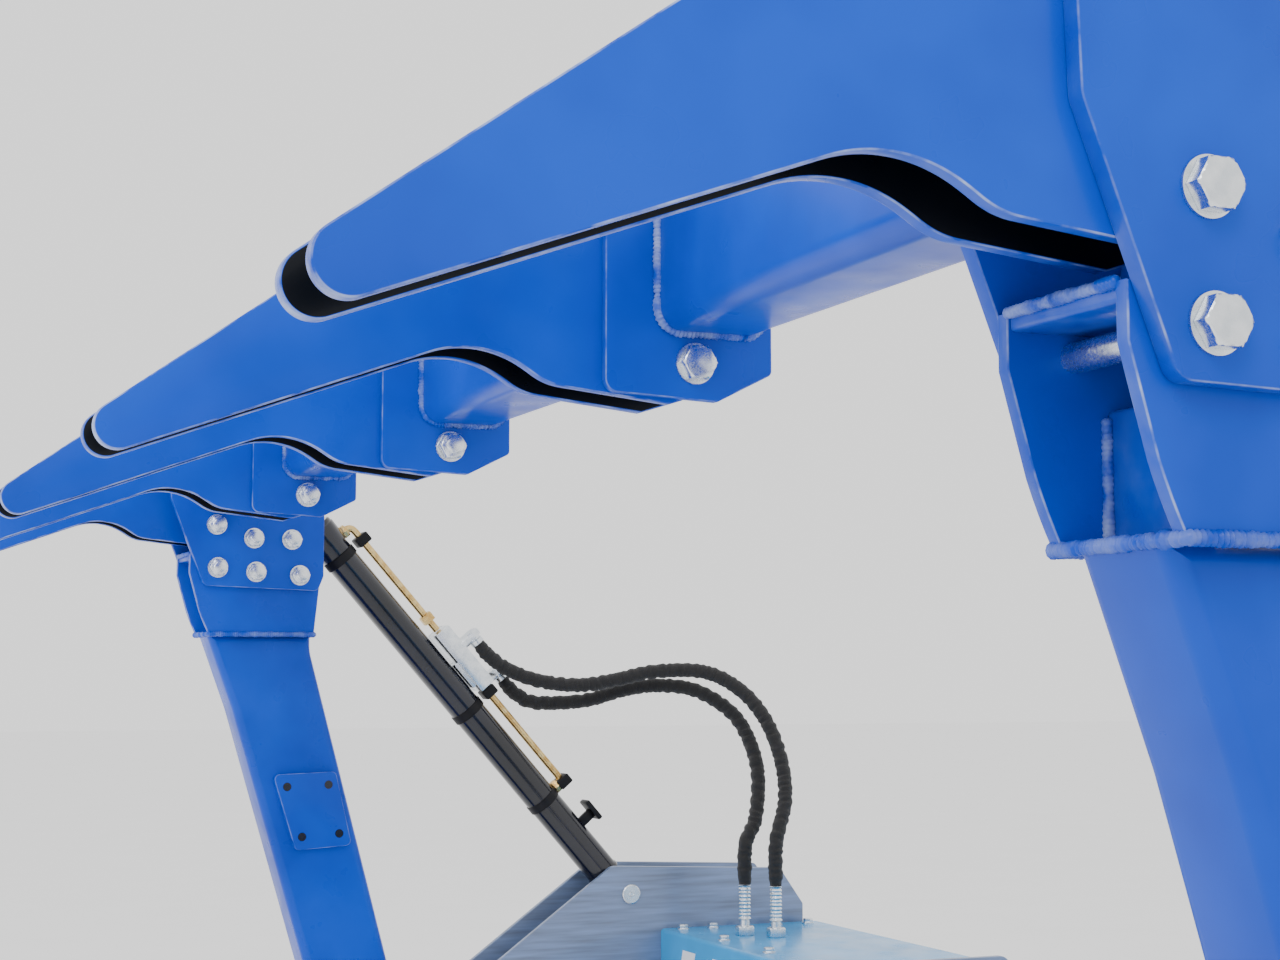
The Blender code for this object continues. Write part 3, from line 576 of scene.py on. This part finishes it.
def finish_of(name):
    """The material of that name, made on its first use."""
    found = bpy.data.materials.get(name)
    if found:
        return found
    colours = bpy.context.scene.frame_finishes
    blue, shade, edge_highlight_and_chip = (tuple(c) for c in (colours.blue, colours.blue_shade, colours.edge_highlight_and_chip))
    deck, grey = tuple(colours.deck), tuple(colours.grey)
    makers = {
        "sprayed blue enamel": lambda: enamel(name, blue, shade, edge_highlight_and_chip),
        "sprayed light blue enamel": lambda: enamel(name, deck, linear("#2A8FCB"), edge_highlight_and_chip, 0.2),
        "sprayed black enamel": lambda: enamel(
            name, linear("#0B0C12"), linear("#101322"), linear("#2A2C34"), 0.2, 0.8
        ),
        "rolled and coated steel plate": lambda: rolled_plate(name, grey, linear("#6B778E")),
        "bright zinc plate": lambda: plated(name, linear("#E6EAEE"), linear("#D2D8DE"), 0.24, 12.0),
        "ground hard chrome": lambda: plated(name, linear("#E4E6E8"), linear("#D5D8DC"), 0.12),
        "yellow passivated steel": lambda: plated(
            name, linear("#E3C98C"), linear("#C59F5E"), 0.28, 14.0
        ),
        "braided black sleeve": lambda: woven_sleeve(name, linear("#0E0D0E"), linear("#353234")),
        "moulded black polymer": lambda: enamel(
            name, linear("#15151A"), linear("#0D0D10"), linear("#222228"), 0.45, 0.0
        ),
    }
    return makers[name]()


BLUE, ZINC, BLACK = "sprayed blue enamel", "bright zinc plate", "sprayed black enamel"


# Pieces


def add_plate_piece(node, material, body, side=1, radius=None, wear_and_painted_light=1.0):
    """A finely rounded plate in place of a node, its outline traced from the node's face."""
    low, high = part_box(node)
    radius = radius or sizes().edge_radius
    part = plate_part(refine(trace(node, side)), low[0], high[0], radius, 3, wear_and_painted_light)
    return add_piece(node + "_skin", part, finish_of(material), body, [node])


class ARMFRAME_OT_arms(bpy.types.Operator):
    """Add the ten arm plates."""

    bl_idname = "armframe.arms"
    bl_label = "Arm plates"

    def execute(self, context):
        for node in sorted(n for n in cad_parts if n.startswith("arm_")):
            low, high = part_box(node)
            # The face towards the pair's other plate is drawn near-black as painted shade.
            painted_shade_face = -1 if node.endswith("plus") else 1
            part = plate_part(
                refine(trace(node, 1)), low[0], high[0], sizes().edge_radius, 4, 0.75, painted_shade_face
            )
            points, faces, wear_and_painted_light = part
            # The nose gets the full value for chipped paint there; along the other edges the pale is a
            # painted highlight.
            nose = np.clip((low[1] + 0.026 - points[:, 1]) / 0.02, 0, 1)
            part = (points, faces, np.where(wear_and_painted_light > 0, np.maximum(wear_and_painted_light, nose), wear_and_painted_light))
            add_piece(node + "_skin", part, finish_of(BLUE), "frame", [node])
        return {"FINISHED"}


class ARMFRAME_OT_tubes(bpy.types.Operator):
    """Add the cross tubes and the welds at their ends."""

    bl_idname = "armframe.tubes"
    bl_label = "Cross tubes"

    def execute(self, context):
        for bay in range(4):
            node = f"cross_tube_{bay}"
            low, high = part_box(node)
            ring = rounded_rectangle(low[1], high[1], low[2], high[2], 22 * MM, 10)
            rings = [np.column_stack([np.full(len(ring), x), ring]) for x in (low[0], high[0])]
            add_piece(
                node + "_skin", loft(np.array(rings)), finish_of(BLUE), "frame", [node]
            )
            beads = []
            for x, seed in ((low[0] + 0.003, 2 * bay), (high[0] - 0.003, 2 * bay + 1)):
                closed = np.concatenate([ring, ring[:1]])
                path = np.column_stack([np.full(len(closed), x), closed])
                beads.append(bead_part(path, sizes().bead_radius, (1, 0, 0), seed, 0.6))
            add_piece(
                f"tube_weld_{bay}", join_parts(beads), finish_of(BLUE), "frame",
                angle=60,
            )
        return {"FINISHED"}


class ARMFRAME_OT_plates(bpy.types.Operator):
    """Add the bracket plates and the splice plates."""

    bl_idname = "armframe.plates"
    bl_label = "Bracket and splice plates"

    def execute(self, context):
        for node in sorted(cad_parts):
            if node.startswith(("bracket_plate", "splice_0", "splice_4")):
                add_plate_piece(node, BLUE, "frame", wear_and_painted_light=0.5)
        return {"FINISHED"}


class ARMFRAME_OT_bolts(bpy.types.Operator):
    """Add the bolts of the brackets and of both splices."""

    bl_idname = "armframe.bolts"
    bl_label = "Bolts"

    def execute(self, context):
        zinc = finish_of(ZINC)
        for number in (1, 2, 3):
            node = f"bracket_bolt_{number}"
            _, y, z = centre(node)
            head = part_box(f"bracket_plate_{number}")[1][0]
            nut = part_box(f"arm_{number}_plate_minus")[0][0]
            sign = 1 if number == 1 else -1
            faces = (nut, head) if sign > 0 else (head, nut)
            part = bolt_part(y, z, *faces, sign)
            add_piece(node + "_skin", part, zinc, "frame", [node])
        for end, sign in ENDS:
            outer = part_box(f"splice_{end}_outer")[1 if sign > 0 else 0][0]
            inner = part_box(f"splice_{end}_inner")[0 if sign > 0 else 1][0]
            for number in range(6):
                _, y, z = centre(f"splice_bolt_{number}")
                part = bolt_part(y, z, inner, outer, sign)
                name = f"splice_bolt_{end}_{number}_skin"
                replaced = [f"splice_bolt_{number}"] if end == 0 else []
                add_piece(name, part, zinc, "frame", replaced)
        return {"FINISHED"}


class ARMFRAME_OT_legs(bpy.types.Operator):
    """Add the leg heads, the folded lower legs, their pads and the seams between them."""

    bl_idname = "armframe.legs"
    bl_label = "Legs"

    def execute(self, context):
        blue = finish_of(BLUE)
        for end, sign in ENDS:
            node = f"leg_{end}_head"
            low, high = (np.asarray(c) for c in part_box(node))
            sheet = 12 * MM
            side = refine(trace(node, 1))
            x0, x1 = low[0] + sheet, high[0] - sheet
            foot = low[2]
            web_y = -0.356
            radius = sizes().edge_radius
            head = [
                plate_part(side, low[0], x0, radius, wear_and_painted_light=0.7),
                plate_part(side, x1, high[0], radius, wear_and_painted_light=0.7),
                slab_part((x0, web_y - 0.004, foot), (x1, web_y + 0.004, 1.220)),
                slab_part((x0, -0.432, 1.267), (x1, web_y, 1.278)),
                slab_part((x0, -0.210, foot), (x1, -0.202, 1.205)),
            ]
            add_piece(f"leg_head_{end}_skin", join_parts(head), blue, "frame", [node])

            node = f"leg_{end}_lower"
            leg_low, leg_high = (np.asarray(c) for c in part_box(node))
            pad_depth = 0.014
            inner_x = leg_low[0] + pad_depth if sign > 0 else leg_high[0] - pad_depth
            outer_x = leg_high[0] if sign > 0 else leg_low[0]
            limits = sorted((inner_x, outer_x))
            lower = plate_part(refine(trace(node, sign), 3), *limits, sizes().fold_radius, 6, 0.0)
            add_piece(f"leg_lower_{end}_skin", lower, blue, "frame", [node])

            self.add_pad(end, sign, inner_x, blue)
            self.add_seams(end, low, high, blue)
        return {"FINISHED"}

    def add_pad(self, end, sign, face, blue):
        """A raised pad with four tapped holes, whose dark insides are painted shade: black rims and cups set
        on the pad face.
        """
        corners = np.array([(-0.225, 0.726), (-0.117, 0.733), (-0.150, 0.872), (-0.270, 0.868)])
        ring = refine(round_corners(corners, 10 * MM), 1)
        limits = sorted((face + sign * 0.002, face - sign * 0.0138))
        pad = plate_part(ring, *limits, sizes().edge_radius, wear_and_painted_light=0.5)
        add_piece(f"leg_pad_{end}", pad, blue, "frame")
        middle = corners.mean(axis=0)
        holes = []
        for y, z in middle + (corners - middle) * 0.66:
            rim = [(0, 8 * MM), (0.25 * MM, 8 * MM), (0.25 * MM, 5.6 * MM), (-2 * MM, 5 * MM)]
            # A black cup in each hole is painted shade, standing for the hole's dark inside.
            holes.append(turned_part((face - sign * 0.0139, y, z), (-sign, 0, 0), rim, 32))
        part = join_parts(holes)
        add_piece(f"pad_hole_shade_{end}", part, finish_of(BLACK), "frame")

    def add_seams(self, end, low, high, blue):
        """Weld beads round the foot of the head, up its web and along its top bar."""
        z = low[2]
        y0, y1 = -0.396, -0.198
        foot = [(low[0], y0, z), (high[0], y0, z), (high[0], y1, z), (low[0], y1, z), (low[0], y0, z)]
        radius = sizes().bead_radius
        beads = [bead_part(foot, radius, (0, 0, 1), 20 + end, 0.3)]
        for x, seed in ((low[0] + 0.014, 31), (high[0] - 0.014, 32)):
            run = [(x, -0.362, z + 0.005), (x, -0.362, 1.215)]
            beads.append(bead_part(run, radius * 0.8, (1, 0, 0), seed + end, 0.8))
        top = [(low[0] + 0.01, -0.433, 1.279), (high[0] - 0.01, -0.433, 1.279)]
        beads.append(bead_part(top, radius * 0.8, (0, 0, 1), 40 + end, 0.5))
        add_piece(f"leg_weld_{end}", join_parts(beads), blue, "frame", angle=60)


def round_corners(corners, radius, segments=4):
    """Each corner of an anticlockwise outline replaced by an arc of the radius."""
    before = np.roll(corners, 1, axis=0) - corners
    after = np.roll(corners, -1, axis=0) - corners
    before /= np.linalg.norm(before, axis=1, keepdims=True)
    after /= np.linalg.norm(after, axis=1, keepdims=True)
    half = np.arccos((before * after).sum(axis=1)) / 2
    start = corners + before * (radius / np.tan(half))[:, None]
    middle = before + after
    middle /= np.linalg.norm(middle, axis=1, keepdims=True)
    hub = corners + middle * (radius / np.sin(half))[:, None]
    sweep = (math.pi - 2 * half)[:, None] * np.linspace(0, 1, segments + 1)
    arm = start - hub
    y = arm[:, :1] * np.cos(sweep) - arm[:, 1:] * np.sin(sweep)
    z = arm[:, :1] * np.sin(sweep) + arm[:, 1:] * np.cos(sweep)
    return (hub[:, None] + np.stack([y, z], axis=-1)).reshape(-1, 2)


def cylinder_line(end):
    """The barrel pin's middle, the unit vector from it to the rod pin, and their distance."""
    start = centre(f"barrel_pin_{end}")
    finish = centre(f"rod_pin_{end}")
    x = start[0]
    start, finish = np.array([x, *start[1:]]), np.array([x, *finish[1:]])
    length = float(np.linalg.norm(finish - start))
    return start, (finish - start) / length, length


class ARMFRAME_OT_cylinders(bpy.types.Operator):
    """Add the barrels, the rods and their pins."""

    bl_idname = "armframe.cylinders"
    bl_label = "Cylinders"

    def execute(self, context):
        for end, _ in ENDS:
            start, along, length = cylinder_line(end)
            r = 32 * MM
            barrel = [
                (0.012, 20 * MM), (0.020, 27 * MM), (0.044, r - 2 * MM), (0.048, r + 2 * MM),
                (0.053, r + 2.5 * MM), (0.058, r), (0.905, r), (0.910, r + 3 * MM),
                (0.950, r + 4 * MM), (0.952, r + 2 * MM), (0.956, r + 2 * MM), (0.960, r),
                (0.960, 19 * MM),
            ]
            eye = plate_part(circle_ring(start, 34 * MM), start[0] - 0.025, start[0] + 0.025, 2 * MM)
            part = join_parts([turned_part(start, along, barrel, 64), eye])
            add_piece(
                f"barrel_{end}_skin", part, finish_of(BLACK), f"cylinder_{end}",
                [f"cylinder_{end}_barrel"],
            )
            finish = start + along * length
            shaft = [(0.62, 17 * MM), (0.621, 18 * MM), (length - 0.034, 18 * MM), (length - 0.030, 16 * MM)]
            eye = plate_part(circle_ring(finish, 40 * MM), start[0] - 0.025, start[0] + 0.025, 2 * MM)
            part = join_parts([turned_part(start, along, shaft, 48), eye])
            add_piece(
                f"rod_{end}_skin", part, finish_of("ground hard chrome"), f"rod_{end}",
                [f"cylinder_{end}_rod"],
            )
            for pin, body in (("barrel_pin", "base"), ("hinge_pin", "base"), ("rod_pin", "frame")):
                self.add_pin(f"{pin}_{end}", body)
        return {"FINISHED"}

    def add_pin(self, node, body):
        """A pin with chamfered heads and a centre drill in each."""
        low, high = (np.asarray(c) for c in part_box(node))
        head = (high[1] - low[1]) / 2
        width = high[0] - low[0]
        shank = head - 6.5 * MM
        half = [(0.0, 3 * MM), (-0.8 * MM, 3.6 * MM), (-0.8 * MM, 4.2 * MM), (0.2 * MM, 5 * MM)]
        half += [(0.2 * MM, head - 2 * MM), (1.6 * MM, head), (5 * MM, head), (5 * MM, shank)]
        profile = half + [(width - d, r) for d, r in reversed(half)]
        _, y, z = centre(node)
        part = turned_part((low[0], y, z), (1, 0, 0), profile)
        add_piece(node + "_skin", part, finish_of(ZINC), body, [node])


def circle_ring(place, radius, sides=48):
    angle = np.linspace(0, 2 * math.pi, sides, endpoint=False)
    return np.column_stack([place[1] + radius * np.cos(angle), place[2] + radius * np.sin(angle)])


class ARMFRAME_OT_valve(bpy.types.Operator):
    """Add the pipes, their clamps, the valve block and the hose ports."""

    bl_idname = "armframe.valve"
    bl_label = "Pipes and valve block"

    def execute(self, context):
        start, along, _ = cylinder_line(4)
        side = np.array([0.0, along[2], -along[1]])
        across = np.array([1.0, 0, 0])

        def at(distance, offset, shift=0.0):
            return start + along * distance + side * offset + across * shift

        gold, zinc = finish_of("yellow passivated steel"), finish_of(ZINC)
        for node, port, block in (("pipe_lower", 0.249, 0.498), ("pipe_upper", 0.915, 0.647)):
            way = math.copysign(1, block - port)
            bend = [at(port, 0.034), at(port, 0.046), at(port + way * 0.004, 0.053)]
            bend += [at(port + way * 0.014, 0.056), at(port + way * 0.05, 0.056), at(block, 0.056)]
            path = along_path(smooth_path(bend, 8), 3 * MM)
            parts = [tube_part(path, 7 * MM, 24)]
            parts.append(hex_part(at(port, 0.033), side, 24 * MM, 12 * MM))
            parts.append(hex_part(at(block - way * 0.022, 0.056), along, 24 * MM, 18 * MM))
            add_piece(node + "_skin", join_parts(parts), gold, "cylinder_4", [node])

        parts = [
            oriented_slab(at(0.5725, 0.057), (along, side, across), (0.145, 0.034, 0.058)),
            oriented_slab(at(0.545, 0.043), (along, side, across), (0.060, 0.020, 0.040)),
            turned_part(at(0.60, 0.072), side, [(0, 12 * MM), (6 * MM, 12 * MM), (8 * MM, 9 * MM)]),
        ]
        for route in HOSE_ROUTES.values():
            tip = np.array(route[0])
            parts.append(turned_part(tip - along * 0.001, along, [
                (0, 12 * MM), (0.001, 13.5 * MM), (0.010, 13.5 * MM), (0.011, 11 * MM), (0.014, 11 * MM),
            ]))
            parts.append(hex_part(tip + along * 0.014, along, 30 * MM, 14 * MM))
            out = tip + along * 0.020 - side * 0.030
            parts.append(turned_part(out, side, [(0, 12 * MM), (0.030, 12 * MM), (0.040, 10 * MM)]))
        add_piece("valve_block_skin", join_parts(parts), zinc, "cylinder_4", ["valve_block"])

        clamps = []
        for distance in (0.247, 0.486, 0.880):
            clamps.append(oriented_slab(at(distance, 0.056), (along, side, across), (0.020, 0.028, 0.034)))
            clamps.append(turned_part(start, along, [
                (distance - 9 * MM, 32.2 * MM), (distance - 8 * MM, 34 * MM),
                (distance + 8 * MM, 34 * MM), (distance + 9 * MM, 32.2 * MM),
            ]))
        clamps.append(oriented_slab(at(0.158, 0.046), (along, side, across), (0.020, 0.030, 0.010)))
        clamps.append(oriented_slab(at(0.163, 0.064), (along, side, across), (0.046, 0.010, 0.036)))
        add_piece(
            "pipe_clamps", join_parts(clamps), finish_of("moulded black polymer"), "cylinder_4",
        )
        return {"FINISHED"}


def oriented_slab(place, axes, lengths, radius=1.5 * MM):
    """A rounded box centred on place, with its three lengths along three square axes."""
    along, side, across = axes
    half = np.array(lengths) / 2
    points, faces, wear_and_painted_light = slab_part((-half[2], -half[0], -half[1]), (half[2], half[0], half[1]), radius)
    turned = points[:, :1] * across + points[:, 1:2] * along + points[:, 2:] * side
    return place + turned, faces, wear_and_painted_light


class ARMFRAME_OT_hoses(bpy.types.Operator):
    """Add the two sleeved hoses and their crimped ferrules."""

    bl_idname = "armframe.hoses"
    bl_label = "Hoses"

    def execute(self, context):
        radius = sizes().hose_diameter / 2
        for seed, (node, route) in enumerate(HOSE_ROUTES.items()):
            ferrule = self.add_ferrule(node.replace("hose", "ferrule"))
            path = along_path(smooth_path(route, 24), 2.2 * MM)
            count = len(path)
            length = float(np.linalg.norm(np.diff(path, axis=0), axis=1).sum())
            rng = np.random.default_rng(60 + seed)
            angle = np.linspace(0, 2 * math.pi, 28, endpoint=False)
            run = np.linspace(0, length, count)
            wrinkle = np.zeros((count, 28))
            for _ in range(26):
                wave = rng.uniform(9, 30) * MM
                phase, lean = rng.uniform(0, 6.28), rng.integers(-2, 3)
                wrinkle += np.sin(run[:, None] / wave * 6.28 + lean * angle[None] + phase)
            wrinkle *= 0.055 / math.sqrt(13)
            size = radius * (0.93 + np.clip(wrinkle, -0.12, 0.07))
            ends = np.clip(np.minimum(run, length - run) / 0.02, 0, 1)
            size *= (0.80 + 0.20 * ends)[:, None]
            points, faces, wear_and_painted_light = sleeve(path, size, angle)
            hose = add_piece(
                node + "_skin", (points, faces, wear_and_painted_light),
                finish_of("braided black sleeve"), None, [node], 80,
            )
            add_tube_uv(hose, count, len(angle), length, radius)
            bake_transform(hose)
        return {"FINISHED"}

    def add_ferrule(self, node):
        """A crimped ferrule: eight pressed grooves above a hexagon and a threaded stem."""
        low, high = (np.asarray(c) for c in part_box(node))
        x, y, _ = centre(node)
        height = high[2] - low[2]
        steps = np.linspace(0.34 * height, height, 70)
        groove = 11 * MM + 1.0 * MM * np.cos((steps - steps[0]) / (7 * MM) * 2 * math.pi)
        profile = [(0.0, 9 * MM), (0.3 * height, 9 * MM), (0.335 * height, 13 * MM)]
        profile += list(zip(steps, groove))
        parts = [
            turned_part((x, y, low[2]), (0, 0, 1), profile),
            hex_part((x, y, low[2]), (0, 0, 1), 32 * MM, 18 * MM),
        ]
        return add_piece(node + "_skin", join_parts(parts), finish_of(ZINC), "base", [node])


def sleeve(path, size, angle):
    """A tube along the path whose radius is given at every point of the grid."""
    points, faces, wear_and_painted_light = tube_part(path, 1.0, len(angle))
    rings = points.reshape(len(path), len(angle), 3)
    rings = path[:, None] + (rings - path[:, None]) * size[..., None]
    return rings.reshape(-1, 3), faces, wear_and_painted_light


def add_tube_uv(obj, rows, sides, length, radius):
    """UVs in units of 100 mm: u round the tube and v along it, so the braid keeps its scale."""
    mesh = obj.data
    index = np.empty(len(mesh.loops), int)
    mesh.loops.foreach_get("vertex_index", index)
    around = (index % sides) / sides * 2 * math.pi * radius / 0.1
    along = (index // sides) / (rows - 1) * length / 0.1
    layer = mesh.uv_layers.new(name="UVMap")
    layer.uv.foreach_set("vector", np.column_stack([around, along]).astype(np.float32).ravel())


class ARMFRAME_OT_base(bpy.types.Operator):
    """Add the base plates, the deck with its bolts and stripes, and finish the floor frame."""

    bl_idname = "armframe.base"
    bl_label = "Base"

    def execute(self, context):
        steel = "rolled and coated steel plate"
        for node in sorted(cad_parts):
            if node.startswith(("base_plate", "centre_plate")):
                add_plate_piece(node, steel, "base", wear_and_painted_light=0.0)
        floor_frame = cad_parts["base_frame"]
        floor_frame.data.materials.clear()
        floor_frame.data.materials.append(finish_of(steel))
        self.add_deck()
        return {"FINISHED"}

    def add_deck(self):
        low, high = (np.asarray(c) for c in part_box("deck_cover"))
        t, bend = 5 * MM, 8 * MM
        angle = np.linspace(0, math.pi / 2, 7)
        rear = np.column_stack([high[1] - bend + bend * np.cos(angle), high[2] - bend + bend * np.sin(angle)])
        front = np.column_stack([low[1] + bend - bend * np.sin(angle), high[2] - bend + bend * np.cos(angle)])
        ring = np.concatenate([
            [(high[1] - t, low[2]), (high[1], low[2])], rear, front,
            [(low[1], low[2]), (low[1] + t, low[2]), (low[1] + t, high[2] - t), (high[1] - t, high[2] - t)],
        ])
        rings = [np.column_stack([np.full(len(ring), x), ring]) for x in (low[0], high[0])]
        light = finish_of("sprayed light blue enamel")
        add_piece("deck_skin", loft(np.array(rings)), light, "base", ["deck_cover"])
        top = high[2]
        heads = []
        places = [(x, low[1] + 0.035) for x in np.linspace(low[0] + 0.03, high[0] - 0.03, 15)]
        places += [(low[0] + 0.03, y) for y in np.linspace(low[1] + 0.10, high[1] - 0.04, 4)]
        for x, y in places:
            ring = [(0, 12 * MM), (2 * MM, 12 * MM), (2 * MM, 9 * MM)]
            heads.append(turned_part((x, y, top), (0, 0, 1), ring, 24))
            heads.append(hex_part((x, y, top + 2 * MM), (0, 0, 1), 17 * MM, 8 * MM, 36))
        add_piece("deck_bolts", join_parts(heads), finish_of(ZINC), "base")
        face = low[1] - 0.4 * MM
        stripes = []
        for x in np.arange(low[0] + 0.05, low[0] + 0.62, 0.14):
            foot, head = top - 0.20, top - 0.03
            shape = np.array([(x, foot), (x + 0.06, foot), (x + 0.12, head), (x + 0.06, head)])
            rings = [
                np.column_stack([shape[:, 0], np.full(4, y), shape[:, 1]])
                for y in (face, face + 0.4 * MM)
            ]
            stripes.append(loft(np.array(rings)))
        white = enamel("sprayed white enamel", linear("#EEF2F6"), linear("#E2E8EE"), linear("#FFFFFF"))
        add_piece("deck_stripes", join_parts(stripes), white, "base")


class ARMFRAME_OT_stage(bpy.types.Operator):
    """Add the floor, the lights, the world and the camera."""

    bl_idname = "armframe.stage"
    bl_label = "Stage"

    def execute(self, context):
        material, tree, shader, place = start_material("matt white floor", Roughness=0.9)
        drift = add_noise(tree, place, 400.0)
        tone = mix(tree, drift, linear("#F7F7F7"), linear("#FCFCFC"))
        tree.links.new(tone, shader.inputs["Base Color"])
        mesh = bpy.data.meshes.new("floor")
        reach = 40.0
        corners = [(-reach, -reach, 0), (reach, -reach, 0), (reach, reach, 0), (-reach, reach, 0)]
        mesh.from_pydata(corners, [], [(0, 1, 2, 3)])
        mesh.materials.append(material)
        floor = bpy.data.objects.new("floor", mesh)
        context.scene.collection.objects.link(floor)

        world = bpy.data.worlds.new("soft studio")
        world.use_nodes = True
        background = world.node_tree.nodes["Background"]
        background.inputs["Color"].default_value = (1.0, 1.0, 1.0, 1.0)
        background.inputs["Strength"].default_value = 1.4
        context.scene.world = world
        self.add_light("key", (5.0, -3.5, 5.0), (0.4, -0.2, 1.2), 3.0, 150)
        self.add_light("front", (-1.5, -5.0, 2.2), (0.0, 0.0, 1.2), 2.5, 60)
        self.add_camera()
        return {"FINISHED"}

    def add_light(self, name, place, target, size, power):
        light = bpy.data.lights.new(name, "AREA")
        light.size = size
        light.energy = power
        obj = bpy.data.objects.new(name, light)
        aim = np.array(place) - np.array(target)
        aim /= np.linalg.norm(aim)
        right = np.cross((0, 0, 1), aim)
        right /= np.linalg.norm(right)
        obj.matrix_world = placed(right, np.cross(aim, right), aim, place)
        bpy.context.scene.collection.objects.link(obj)

    def add_camera(self):
        """Low beside the near leg, looking along the row and slightly up."""
        turn, lift = math.radians(67.67), math.radians(5.33)
        ahead = np.array([-math.sin(turn) * math.cos(lift), math.cos(turn) * math.cos(lift), math.sin(lift)])
        right = np.array([math.cos(turn), math.sin(turn), 0.0])
        camera = bpy.data.cameras.new("camera")
        camera.sensor_width = 36.0
        camera.lens = 59.4
        camera.clip_start = 0.01
        obj = bpy.data.objects.new("camera", camera)
        obj.matrix_world = placed(right, np.cross(right, ahead), -ahead, (2.5444, -1.150, 1.050))
        bpy.context.scene.collection.objects.link(obj)
        bpy.context.scene.camera = obj


def placed(x, y, z, place):
    rows = [(x[i], y[i], z[i], place[i]) for i in range(3)]
    return Matrix((*rows, (0, 0, 0, 1)))


class ARMFRAME_PT_panel(bpy.types.Panel):
    """Lists the steps that build the frame."""

    bl_label = "Arm Frame"
    bl_space_type = "VIEW_3D"
    bl_region_type = "UI"
    bl_category = "Arm Frame"

    def draw(self, context):
        for operator in OPERATORS:
            self.layout.operator(operator.bl_idname)


OPERATORS = (
    ARMFRAME_OT_stage,
    ARMFRAME_OT_hoses,
    ARMFRAME_OT_arms,
    ARMFRAME_OT_tubes,
    ARMFRAME_OT_plates,
    ARMFRAME_OT_bolts,
    ARMFRAME_OT_legs,
    ARMFRAME_OT_cylinders,
    ARMFRAME_OT_valve,
    ARMFRAME_OT_base,
)
CLASSES = (FrameFinishes, FrameSizes, *OPERATORS, ARMFRAME_PT_panel)


def register():
    for cls in CLASSES:
        bpy.utils.register_class(cls)
    bpy.types.Scene.frame_finishes = bpy.props.PointerProperty(type=FrameFinishes)
    bpy.types.Scene.frame_sizes = bpy.props.PointerProperty(type=FrameSizes)


def unregister():
    del bpy.types.Scene.frame_sizes
    del bpy.types.Scene.frame_finishes
    for cls in reversed(CLASSES):
        bpy.utils.unregister_class(cls)


def main():
    register()
    for operator in OPERATORS:
        group, name = operator.bl_idname.split(".")
        getattr(getattr(bpy.ops, group), name)()


if __name__ == "__main__":
    main()
